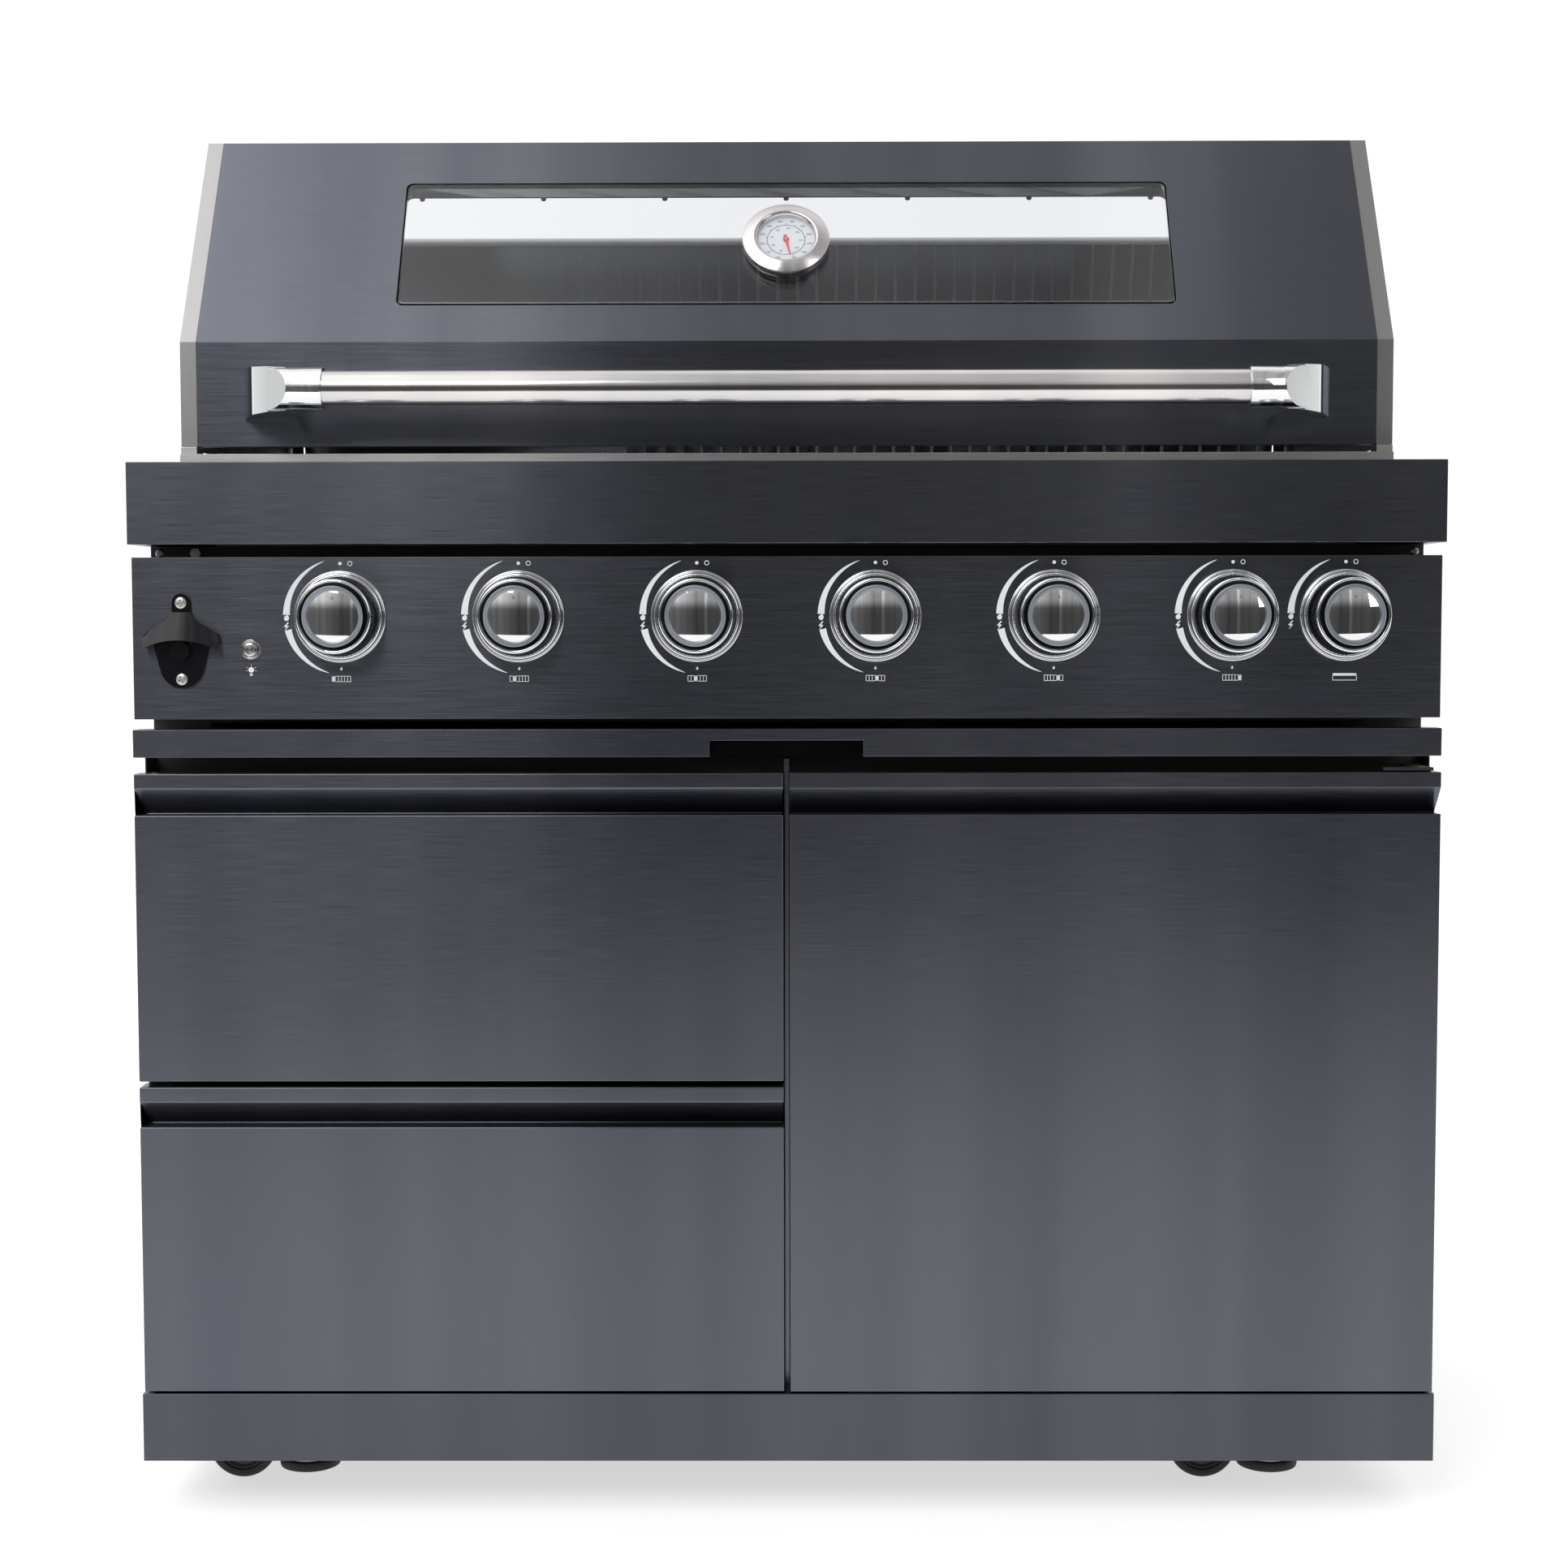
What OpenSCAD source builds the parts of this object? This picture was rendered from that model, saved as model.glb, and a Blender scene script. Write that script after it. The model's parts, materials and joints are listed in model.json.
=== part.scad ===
// Built-in style gas barbecue on a two-drawer, one-door cabinet with levelling casters.
// Frame: +Z up, front faces -Y, origin on the floor under the centre of the overall box.

/* [Overall] */
// Width across the bench top and the kick plate
top_w = 1130; // [1126:1:1150]
// Depth from the knob faces to the gas inlet
overall_d = 640; // [640:1:660]
// How far the knob faces stand in front of the bench top
knob_reach = 40; // [40:1:44]
// Sheet-metal thickness of panels
sheet = 1.5; // [1.2:0.1:1.6]

/* [Cabinet] */
// Width across the drawers and the door
front_w = 1126; // [1124:1:1126]
// Thickness of the drawer and door fronts
front_t = 24; // [24:1:25]
// Underside of the kick plate
kick_z0 = 46; // [44:1:48]
// Top of the kick plate
kick_z1 = 106; // [105:0.5:106]
// Bottom edge of the door and of the lower drawer
door_z0 = 108; // [108:0.5:109]
// Ledge of the lower drawer's grip groove
lower_ledge_z = 342; // [338:1:344]
// Top of the lower drawer's grip
lower_top_z = 377; // [376:1:378]
// Bottom edge of the upper drawer
upper_z0 = 382; // [382:0.5:384]
// Ledge of the grip groove of the upper drawer and the door
upper_ledge_z = 614; // [610:1:616]
// Top of the grip of the upper drawer and the door
upper_top_z = 650; // [648:1:650]
// Height of the grip lip's front face
lip_h = 13; // [12:0.5:14]
// Depth of the grip groove
groove_d = 22; // [20:0.5:22]
// Thickness of the centre divider
divider_t = 5; // [4.6:0.1:5]
// Gap between the drawers and the door
centre_gap = 5.2; // [5.2:0.1:6]

/* [Head] */
// Bottom of the drip-tray front
tray_z0 = 664; // [664:1:665]
// Top of the drip-tray front
tray_z1 = 688; // [688:1:690]
// Bottom of the control panel
panel_z0 = 697; // [696:1:698]
// Top of the control panel
panel_z1 = 836; // [834:1:838]
// Height of the knob axes
knob_z = 785; // [784:1:786]
// Spacing of the six burners and their knobs
burner_pitch = 153; // [151:1:154]
// Place of the back burner's knob across the panel
back_knob_x = 479; // [478:1:480]
// Bottom of the bench-top frame
bench_z0 = 847; // [847:1:848]
// Top of the bench-top frame
bench_z1 = 917.5; // [917:0.5:918]
// Width across the fire-box rim
rim_w = 1062; // [1062:1:1064]
// Height of the fire-box rim
rim_h = 10; // [10:0.5:11]

/* [Hood] */
// Width across the hood
hood_w = 1060; // [1060:1:1062]
// Setback of the hood behind the bench-top front
hood_back = 55; // [54:1:56]
// Bottom edge of the hood
hood_z0 = 934; // [933:0.5:935]
// Bend between the upright and the sloping front
bend_z = 1025; // [1020:1:1030]
// Top of the sloping front
slope_z = 1219; // [1217:1:1221]
// How far the slope leans back
slope_run = 121; // [119:1:123]
// Height of the hood at its rear lip
hood_top_z = 1232; // [1230:1:1233]
// Window width
window_w = 688; // [680:1:690]
// Lower edge of the window, measured up the slope
window_v0 = 40; // [38:1:42]
// Upper edge of the window, measured up the slope
window_v1 = 180; // [178:1:182]
// Height of the handle
handle_z = 979; // [976:1:981]
// Radius of the handle tube
handle_r = 15.5; // [15:0.5:15.5]

/* [Casters] */
// Wheel diameter
wheel_d = 62; // [60:1:62]
// Offset of the wheel from the swivel axis
wheel_trail = 60; // [59:0.5:60]
// Swivel axes to either side of the middle
caster_x = 438; // [434:1:442]
// Height of the retracted levelling pads above the floor
pad_lift = 10; // [9:1:12]

/* [Hidden] */
$fn = 64;

// Colours
black_steel = [0.20, 0.21, 0.23];
dark_steel = [0.12, 0.12, 0.13];
bright_steel = [0.74, 0.74, 0.74];
iron = [0.16, 0.15, 0.15];
rubber = [0.06, 0.06, 0.06];

// Fits between pieces
running = 0.05;
gap = 0.5;

// Depth planes
front_y = -overall_d / 2 + knob_reach;
front_back_y = front_y + front_t;
frame_y = front_back_y + 4;
panel_y = front_y + 1;
chassis_y = front_y + 60;
inlet_reach = 20;
bench_back_y = overall_d / 2 - inlet_reach;
back_y = bench_back_y - 10;

// Cabinet
side_x = front_w / 2 - 1;
flange = 22;
carcass_top_z = 640;
floor_z = kick_z1;
base_drop = kick_z1 - kick_z0;

// Head
chassis_x = front_w / 2 - 3;
panel_x = front_w / 2 - 1.5;
knob_xs = [for (i = [0 : 6]) i < 6 ? (i - 2.5) * burner_pitch : back_knob_x];
tub_x = rim_w / 2 - 26;
tub_y0 = front_y + 73;
tub_y1 = back_y - 28;
tub_z0 = 745;
rim_y0 = front_y + 53;
rim_y1 = tub_y1 + 22;
rim_z = bench_z1 + rim_h;
grate_z = 898;
tamer_z = 846.5;
tamer_w = 100;
tamer_h = 30;
burner_r = 13;
manifold_r = 9.5;
manifold_z = knob_z - 22;
valve_y0 = panel_y + 10;
valve_y1 = valve_y0 + 30;
manifold_y = valve_y0 + 18;
stem_r = 4;
supply_pipe_r = 6;
supply_pipe_x = 541;
riser_x = 515;
riser_y = bench_back_y + 6;
riser_z = 1015;
riser_end_x = 220;
inlet_r = 7.9;

// Drip tray
pan_x = 487;
pan_y1 = back_y - 40;
runner_x = 512;
runner_z = 682;
notch_w = 132;
notch_h = 14;

// Hood
hood_x = hood_w / 2;
hood_y = front_y + hood_back;
cap_lap = 14;
shell_x = hood_x - cap_lap;
slope_angle = atan2(slope_z - bend_z, slope_run);
slope_len = norm([slope_run, slope_z - bend_z]);
top_y = hood_y + slope_run;
lip_y = top_y + 269;
lip_z = hood_top_z - 13;
pivot_y = 225;
pivot_r = 34;
pivot_z = hood_z0 + pivot_r;
hinge_r = 5;
cheek_x = 515;
wall_top_y = 190;
wall_top_z = 1177;
wall_flange_h = 11;
wall_lean = atan2(wall_top_z - wall_flange_h - rim_z, wall_top_y - tub_y1);
burner_w = 500;
burner_v0 = 50;
burner_v1 = 130;
handle_y = hood_y - 55;
handle_wall = 2;
bracket_x0 = 394;
bracket_x1 = 472;
glass_t = 5;
frame_v0 = window_v0 + 6;
frame_v1 = window_v1 - 14;
dial_v = 107.6;
case_r = 38.8;
case_h = 12.7;
case_ridge_r = 29.5;
case_wall_h = 9.1;
dial_r = 25.5;
dial_z = 6.5;

// Door hinge
door_pin_x = front_w / 2 - 9;
door_pin_y = front_y + front_t / 2;
door_pin_r = 3;

// Drawer boxes
drawer_x0 = -530;
drawer_x1 = -14;
drawer_y1 = back_y - 100;
drawer_wall = 1.2;
lower_box_z = 120;
upper_box_z = 394;
lower_box_h = 180;
upper_box_h = 166;
rail_h = 20;
rail_w = 8;
rail_wall = 1.2;
rail_rise = 60;

// Bottle opener
opener_x = -519;
opener_z0 = 724;
opener_z1 = 805;
opener_screw_zs = [opener_z0 + 7.5, opener_z1 - 8];
opener_screw_r = 5.4;

// Light button
button_x = -460;
button_z = 757;
button_r = 6;

// Casters
caster_ys = [-180, 185];
wheel_r = wheel_d / 2;
wheel_w = 22;
axle_r = 4;
fork_t = 3;
swivel_z = 70;
caster_stem_r = 6;
spindle_r = 5;
pad_r = 27.5;
pad_h = 9;

// Places of the casters: front left, front right, rear left, rear right
caster_at = [for (y = caster_ys) for (s = [-1, 1]) [s * caster_x, y, 0]];

// ---------- helpers ----------

module block(lo, hi) {
    translate(lo) cube(hi - lo);
}

// A block and its mirror image across X = 0
module block_pair(lo, hi) {
    block(lo, hi);
    mirror([1, 0, 0]) block(lo, hi);
}

// Cylinder along X from x0 to x1
module rod_x(r, x0, x1, y, z) {
    translate([x0, y, z]) rotate([0, 90, 0]) cylinder(r = r, h = x1 - x0);
}

// Cylinder along Y from y0 to y1
module rod_y(r, y0, y1, x, z) {
    translate([x, y0, z]) rotate([-90, 0, 0]) cylinder(r = r, h = y1 - y0);
}

// Cylinder along Z from z0 to z1
module rod_z(r, z0, z1, x, y) {
    translate([x, y, z0]) cylinder(r = r, h = z1 - z0);
}

// Extrudes an outline drawn in (Y, Z) along X
module along_x(x0, x1) {
    translate([x0, 0, 0]) rotate([90, 0, 90]) linear_extrude(x1 - x0) children();
}

// Rectangle with round corners made of true arcs
module round_rect(x0, x1, y0, y1, r) {
    translate([x0 + r, y0]) square([x1 - x0 - 2 * r, y1 - y0]);
    translate([x0, y0 + r]) square([x1 - x0, y1 - y0 - 2 * r]);
    for (x = [x0 + r, x1 - r])
        for (y = [y0 + r, y1 - r])
            translate([x, y]) circle(r);
}

// Local frame of the sloping hood face: X across, Y up the slope, Z out of the face
module on_slope() {
    translate([0, hood_y, bend_z]) rotate([slope_angle, 0, 0]) children();
}

// Local frame of the leaning rear wall: X across, Y up the wall, Z out of its front
module on_rear_wall() {
    translate([0, tub_y1, rim_z]) rotate([wall_lean, 0, 0]) children();
}

// Local frame of the thermometer, at the centre of the window, Z out of the glass
module on_dial() {
    on_slope() translate([0, dial_v, 0]) children();
}

// Local frame of a knob: Z points out of the panel, Y up
module on_panel(x, z, y = panel_y) {
    translate([x, y, z]) rotate([90, 0, 0]) children();
}

// ---------- cabinet ----------

module cabinet_sides() {
    color(black_steel) {
        block_pair([side_x - sheet, frame_y, kick_z1], [side_x, back_y, carcass_top_z]);
        block_pair([side_x - flange, frame_y, kick_z1], [side_x, frame_y + sheet, carcass_top_z]);
        block_pair([side_x - flange, frame_y, kick_z1], [side_x, back_y, kick_z1 + sheet]);
        block_pair([side_x - flange, frame_y, carcass_top_z - sheet], [side_x, back_y, carcass_top_z]);
    }
}

module cabinet_back() {
    inner_x = side_x - sheet;
    z0 = kick_z1 + sheet;
    z1 = carcass_top_z - sheet;
    slot_w = 160;
    color(dark_steel) difference() {
        union() {
            block([-inner_x, back_y - sheet, z0], [inner_x, back_y, z1]);
            block_pair([inner_x - sheet, back_y - 20, z0], [inner_x, back_y, z1]);
        }
        for (x = [60 : 200 : 260])
            for (z = [140, 160, 180, 560, 580, 600])
                block([x, back_y - 5, z], [x + slot_w, back_y + 1, z + 8]);
        rod_y(30, back_y - 5, back_y + 1, 470, 300);
    }
}

module cabinet_floor() {
    z0 = floor_z - base_drop;
    color(dark_steel) difference() {
        union() {
            block([-side_x, frame_y, floor_z - sheet], [side_x, back_y, floor_z]);
            block_pair([side_x - sheet, frame_y, z0], [side_x, back_y, floor_z]);
            block([-side_x, frame_y, floor_z - 22], [side_x, frame_y + sheet, floor_z]);
            block([-side_x, back_y - sheet, z0], [side_x, back_y, floor_z]);
        }
        for (p = caster_at)
            rod_z(caster_stem_r + running, floor_z - 3, floor_z + 2, p.x, p.y);
    }
}

module center_divider() {
    half = divider_t / 2;
    color(black_steel) difference() {
        union() {
            block([-half, frame_y, floor_z], [half, back_y - sheet, carcass_top_z - sheet]);
            block([-half, frame_y, floor_z], [half, frame_y + 20, tray_z0 - 3]);
        }
        block([-half + 1, frame_y + sheet, floor_z + 1], [half - 1, back_y, carcass_top_z - 3]);
    }
}

module kick_plate() {
    half = top_w / 2;
    color(black_steel) difference() {
        block([-half, front_y, kick_z0], [half, frame_y, kick_z1]);
        block([-half + sheet, front_y + sheet, kick_z0 + sheet],
              [half - sheet, frame_y + 1, kick_z1 - sheet]);
        block([-half + sheet, front_y + 10, kick_z0 - 1], [half - sheet, frame_y + 1, kick_z1 - sheet]);
    }
}

// ---------- drawers and door ----------

// Outline in (Y, Z) of a front with a grip groove below its top lip
module grip_outline(z0, ledge_z, top_z) {
    polygon([[front_y, z0], [front_y, ledge_z], [front_y + groove_d, ledge_z],
             [front_y, top_z - lip_h], [front_y, top_z], [front_back_y, top_z],
             [front_back_y, z0]]);
}

// Folded front panel between x0 and x1, closed all round and hollow inside
module grip_front(x0, x1, z0, ledge_z, top_z) {
    lip_z0 = top_z - lip_h;
    inner_y0 = front_y + sheet;
    inner_y1 = front_back_y - sheet;
    color(black_steel) difference() {
        along_x(x0, x1) grip_outline(z0, ledge_z, top_z);
        block([x0 + sheet, inner_y0, z0 + sheet], [x1 - sheet, inner_y1, ledge_z - sheet]);
        along_x(x0 + sheet, x1 - sheet)
            polygon([[inner_y1, ledge_z + 2 * sheet], [inner_y0, lip_z0 + sheet],
                     [inner_y0, top_z - sheet], [inner_y1, top_z - sheet]]);
    }
}

module upper_drawer_front() {
    grip_front(-front_w / 2, -centre_gap / 2, upper_z0, upper_ledge_z, upper_top_z);
}

module lower_drawer_front() {
    grip_front(-front_w / 2, -centre_gap / 2, door_z0, lower_ledge_z, lower_top_z);
}

module door_panel() {
    difference() {
        grip_front(centre_gap / 2, front_w / 2, door_z0, upper_ledge_z, upper_top_z);
        rod_z(door_pin_r + running, door_z0 - 1, door_z0 + 5, door_pin_x, door_pin_y);
        rod_z(door_pin_r + running, upper_top_z - 5, upper_top_z + 1, door_pin_x, door_pin_y);
    }
}

// Open-topped box with the moving runners on its sides
module drawer_box(z0, h) {
    runner_z0 = z0 + rail_rise + rail_wall + gap;
    runner_z1 = z0 + rail_rise + rail_h - rail_wall - gap;
    reach = rail_w + 1;
    color(bright_steel) {
        difference() {
            block([drawer_x0, front_back_y, z0], [drawer_x1, drawer_y1, z0 + h]);
            block([drawer_x0 + drawer_wall, front_back_y + drawer_wall, z0 + drawer_wall],
                  [drawer_x1 - drawer_wall, drawer_y1 - drawer_wall, z0 + h + 1]);
        }
        block([drawer_x0 - reach, frame_y + 8, runner_z0], [drawer_x0, drawer_y1, runner_z1]);
        block([drawer_x1, frame_y + 8, runner_z0], [drawer_x1 + reach, drawer_y1, runner_z1]);
    }
}

module upper_drawer_box() {
    drawer_box(upper_box_z, upper_box_h);
}

module lower_drawer_box() {
    drawer_box(lower_box_z, lower_box_h);
}

// Channel rail, open towards the drawer; side is -1 on the outer wall and 1 on the divider
module channel_rail(wall_x, open_x, z0) {
    lo = min(wall_x, open_x);
    hi = max(wall_x, open_x);
    web_x = wall_x < open_x ? wall_x : wall_x - rail_wall;
    y0 = frame_y + 4;
    y1 = drawer_y1 + 6;
    block([lo, y0, z0], [hi, y1, z0 + rail_wall]);
    block([lo, y0, z0 + rail_h - rail_wall], [hi, y1, z0 + rail_h]);
    block([web_x, y0, z0], [web_x + rail_wall, y1, z0 + rail_h]);
}

module drawer_rails() {
    outer_x = drawer_x0 - rail_w - 1 - gap - rail_wall;
    inner_x = -divider_t / 2;
    color(bright_steel)
        for (z = [lower_box_z + rail_rise, upper_box_z + rail_rise]) {
            channel_rail(outer_x, drawer_x0 - 2, z);
            channel_rail(inner_x, drawer_x1 + 2, z);
            for (y = [frame_y + 30, drawer_y1 - 30])
                block([-side_x + sheet, y, z + 2], [outer_x, y + 20, z + rail_h - 2]);
        }
}

// ---------- head ----------

module bench_top_frame() {
    half = top_w / 2;
    open_x = rim_w / 2 - 12;
    y0 = rim_y0 + 12;
    y1 = rim_y1 - 12;
    rtn = 12;
    color(black_steel) difference() {
        block([-half, front_y, bench_z0], [half, bench_back_y, bench_z1]);
        block([-half + sheet, front_y + sheet, bench_z0 + sheet],
              [half - sheet, bench_back_y - sheet, bench_z1 - sheet]);
        block([-half + rtn, front_y + rtn, bench_z0 - 1],
              [half - rtn, bench_back_y - rtn, bench_z0 + 2 * sheet]);
        block([-open_x, y0, bench_z0], [open_x, y1, bench_z1 + 1]);
    }
}

module control_panel() {
    depth_y = chassis_y - 2;
    color(black_steel) difference() {
        block([-panel_x, panel_y, panel_z0], [panel_x, depth_y, panel_z1]);
        block([-panel_x + sheet, panel_y + sheet, panel_z0 + sheet],
              [panel_x - sheet, depth_y + 1, panel_z1 - sheet]);
        for (x = knob_xs)
            rod_y(12, panel_y - 1, panel_y + 3, x, knob_z);
        rod_y(button_r + 0.3, panel_y - 1, panel_y + 3, button_x, button_z);
        for (z = opener_screw_zs)
            rod_y(opener_screw_r / 2 + running, panel_y - 1, panel_y + 3, opener_x, z);
    }
}

module head_chassis() {
    slot_x = runner_x - 3;
    color(dark_steel) {
        difference() {
            union() {
                block([-chassis_x, chassis_y, carcass_top_z], [chassis_x, chassis_y + sheet, bench_z0]);
                block_pair([chassis_x - sheet, chassis_y, carcass_top_z], [chassis_x, back_y, bench_z0]);
                block([-chassis_x, back_y - sheet, carcass_top_z], [chassis_x, back_y, bench_z0]);
                block_pair([chassis_x - sheet, frame_y, carcass_top_z],
                           [chassis_x, chassis_y, tray_z0 - 1]);
            }
            block([-slot_x, chassis_y - 1, tray_z0 - 2], [slot_x, chassis_y + 3, tray_z1 + 4]);
            for (x = knob_xs)
                rod_y(burner_r + 1, chassis_y - 1, chassis_y + 3, x, knob_z);
            for (x = [supply_pipe_x, riser_x])
                for (y = [chassis_y, back_y])
                    rod_y(8, y - 5, y + 5, x, x == riser_x ? knob_z : manifold_z);
        }
        block_pair([pan_x + 3, chassis_y, runner_z], [runner_x, back_y, runner_z + sheet]);
        block_pair([runner_x - sheet, chassis_y, tray_z0], [runner_x, back_y, runner_z + sheet]);
    }
}

module firebox() {
    color(bright_steel) difference() {
        union() {
            difference() {
                block([-tub_x, tub_y0, tub_z0], [tub_x, tub_y1, rim_z]);
                block([-tub_x + sheet, tub_y0 + sheet, tub_z0 + sheet],
                      [tub_x - sheet, tub_y1 - sheet, rim_z + 1]);
                block([-tub_x + 30, tub_y0 + 30, tub_z0 - 1], [tub_x - 30, tub_y1 - 30, tub_z0 + 3]);
            }
            difference() {
                block([-rim_w / 2, rim_y0, bench_z1], [rim_w / 2, rim_y1, rim_z]);
                block([-rim_w / 2 + sheet, rim_y0 + sheet, bench_z1 - 1],
                      [rim_w / 2 - sheet, rim_y1 - sheet, rim_z - sheet]);
                block([-tub_x + sheet, tub_y0 + sheet, bench_z1 - 1],
                      [tub_x - sheet, tub_y1 - sheet, rim_z + 1]);
            }
            block_pair([shell_x, rim_y0, rim_z], [rim_w / 2 - 1, rim_y0 + 24, hood_z0 - 0.4]);
            for (z = [grate_z, tamer_z])
                for (y = [tub_y0, tub_y1 - 14])
                    block([-tub_x, y, z - sheet], [tub_x, y + 14, z]);
        }
        for (i = [0 : 5])
            rod_y(burner_r + 1, tub_y0 - 1, tub_y0 + 3, knob_xs[i], knob_z);
    }
}

module rear_wall() {
    foot_y = tub_y1;
    z0 = rim_z;
    lean_z1 = wall_top_z - wall_flange_h;
    t = sheet;
    color(bright_steel) difference() {
        along_x(-cheek_x, cheek_x)
            polygon([[foot_y + 20, z0], [foot_y + 20, z0 + t], [foot_y + t, z0 + t],
                     [wall_top_y + t, lean_z1], [wall_top_y + t, wall_top_z - t],
                     [wall_top_y + 16, wall_top_z - t], [wall_top_y + 16, wall_top_z],
                     [wall_top_y, wall_top_z], [wall_top_y, lean_z1], [foot_y, z0]]);
        on_rear_wall() translate([-burner_w / 2, burner_v0, -4])
            cube([burner_w, burner_v1 - burner_v0, 8]);
    }
}

// Hood hinge plates with their pins, and the door's two hinge pins
module hinge_pins() {
    arm_z = upper_top_z + 1;
    color(bright_steel) {
        for (s = [0, 1]) mirror([s, 0, 0]) {
            block([cheek_x, pivot_y - 20, rim_z], [cheek_x + 4, pivot_y + 20, pivot_z]);
            rod_x(20, cheek_x, cheek_x + 4, pivot_y, pivot_z);
            rod_x(hinge_r, cheek_x + 4, hood_x + 2, pivot_y, pivot_z);
            rod_x(9, hood_x + 1, hood_x + 5, pivot_y, pivot_z);
        }
        rod_z(6, kick_z1, kick_z1 + 1.5, door_pin_x, door_pin_y);
        rod_z(door_pin_r, kick_z1, kick_z1 + 14, door_pin_x, door_pin_y);
        difference() {
            block([door_pin_x - 40, door_pin_y - 8, arm_z], [door_pin_x + 3.5, chassis_y, arm_z + 3]);
            block([door_pin_x - 41, door_pin_y + 10, arm_z - 1],
                  [door_pin_x - 12, chassis_y + 1, arm_z + 4]);
        }
        rod_z(door_pin_r, upper_top_z - 14, arm_z, door_pin_x, door_pin_y);
    }
}

module main_burners() {
    y0 = chassis_y + 6;
    y1 = tub_y1 - 22;
    color(bright_steel)
        for (i = [0 : 5]) {
            difference() {
                rod_y(burner_r, y0, y1, knob_xs[i], knob_z);
                rod_y(burner_r - 1.5, y0 - 1, y1 - 3, knob_xs[i], knob_z);
                block([knob_xs[i] - 1, tub_y0 + 30, knob_z],
                      [knob_xs[i] + 1, y1 - 15, knob_z + burner_r + 1]);
            }
            rod_y(4, y1, tub_y1 - sheet, knob_xs[i], knob_z);
        }
}

module flame_tamers() {
    half = tamer_w / 2;
    y0 = tub_y0 + 2;
    y1 = tub_y1 - 2;
    color(bright_steel)
        for (i = [0 : 5])
            translate([knob_xs[i], y1, tamer_z]) rotate([90, 0, 0]) linear_extrude(y1 - y0)
                polygon([[-half, 0], [0, tamer_h], [half, 0], [half - 3, 0],
                         [0, tamer_h - 2], [-half + 3, 0]]);
}

module cooking_grates() {
    y0 = tub_y0 + 2;
    y1 = tub_y1 - 3;
    pitch = 20;
    bars = 16;
    color(iron)
        for (g = [0, 1])
            for (i = [0 : bars])
                translate([-162 + g * (bars + 1) * pitch, 0, 0]) {
                    block([i * pitch - 4, y0, grate_z], [i * pitch + 4, y1, grate_z + 12]);
                    if (i < bars)
                        for (y = [y0 + 20, (y0 + y1) / 2, y1 - 30])
                            block([i * pitch + 4, y, grate_z], [(i + 1) * pitch - 4, y + 8, grate_z + 8]);
                }
}

module hotplate() {
    x0 = -tub_x + 5;
    x1 = -172;
    y0 = tub_y0 + 2;
    y1 = tub_y1 - 3;
    color(iron) difference() {
        block([x0, y0, grate_z], [x1, y1, grate_z + 14]);
        block([x0 + 6, y0 + 6, grate_z + 6], [x1 - 6, y1 - 6, grate_z + 15]);
        block([x0 + 120, y0 + 16, grate_z - 1], [x1 - 120, y0 + 36, grate_z + 7]);
    }
}

// Housing behind the opening of the rear wall, with four ceramic tiles and a gas socket
module back_burner() {
    w = burner_w - 4;
    h = burner_v1 - burner_v0 - 4;
    depth = 40;
    tiles = 4;
    tile_w = (w - 4) / tiles;
    socket_y = 279.5;
    color(bright_steel) {
        on_rear_wall() translate([-w / 2, burner_v0 + 2, -depth]) {
            difference() {
                cube([w, h, depth]);
                translate([2, 2, 2]) cube([w - 4, h - 4, depth]);
            }
            for (i = [0 : tiles - 1])
                translate([2 + i * tile_w, 2, depth - 12])
                    cube([tile_w - (i < tiles - 1 ? 1 : 0), h - 4, 4]);
        }
        difference() {
            rod_y(6, socket_y - 8, socket_y, riser_end_x, riser_z);
            on_rear_wall() translate([-w / 2, burner_v0, 1 - depth]) cube([w, h, depth]);
        }
    }
}

// ---------- gas train ----------

module gas_manifold() {
    x1 = supply_pipe_x;
    y = manifold_y;
    z = manifold_z;
    fitting_y = back_y + 2;
    color(bright_steel) {
        rod_x(manifold_r, knob_xs[0] - 20, x1, y, z);
        translate([x1, y, z]) sphere(manifold_r);
        for (x = knob_xs)
            rod_z(7, z, knob_z - 11, x, y);
        rod_y(supply_pipe_r, y, fitting_y, x1, z);
        rod_y(11, fitting_y, fitting_y + 8, x1, z);
        rod_y(inlet_r, fitting_y + 8, overall_d / 2, x1, z);
        rod_x(4, back_knob_x + 12, riser_x, y, knob_z);
        translate([riser_x, y, knob_z]) sphere(4);
        rod_y(4, y, riser_y, riser_x, knob_z);
        translate([riser_x, riser_y, knob_z]) sphere(4);
        rod_z(4, knob_z, riser_z, riser_x, riser_y);
        translate([riser_x, riser_y, riser_z]) sphere(4);
        rod_x(4, riser_end_x, riser_x, riser_y, riser_z);
        translate([riser_end_x, riser_y, riser_z]) sphere(4);
        rod_y(4, 279.5, riser_y, riser_end_x, riser_z);
    }
}

module gas_valves() {
    color("goldenrod")
        for (i = [0 : 6])
            translate([knob_xs[i], 0, 0]) difference() {
                union() {
                    block([-12, valve_y0, knob_z - 11], [12, valve_y1, knob_z + 13]);
                    rod_y(9, valve_y0 - 4, valve_y0, 0, knob_z);
                    if (i < 6) rod_y(5, valve_y1, chassis_y + 4, 0, knob_z);
                }
                rod_y(stem_r + running, valve_y0 - 5, valve_y0 + 16, 0, knob_z);
            }
}

module valve_stem(i) {
    color(bright_steel)
        rod_y(stem_r, front_y - knob_reach + 16, valve_y0 + 12, knob_xs[i], knob_z);
}

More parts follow.
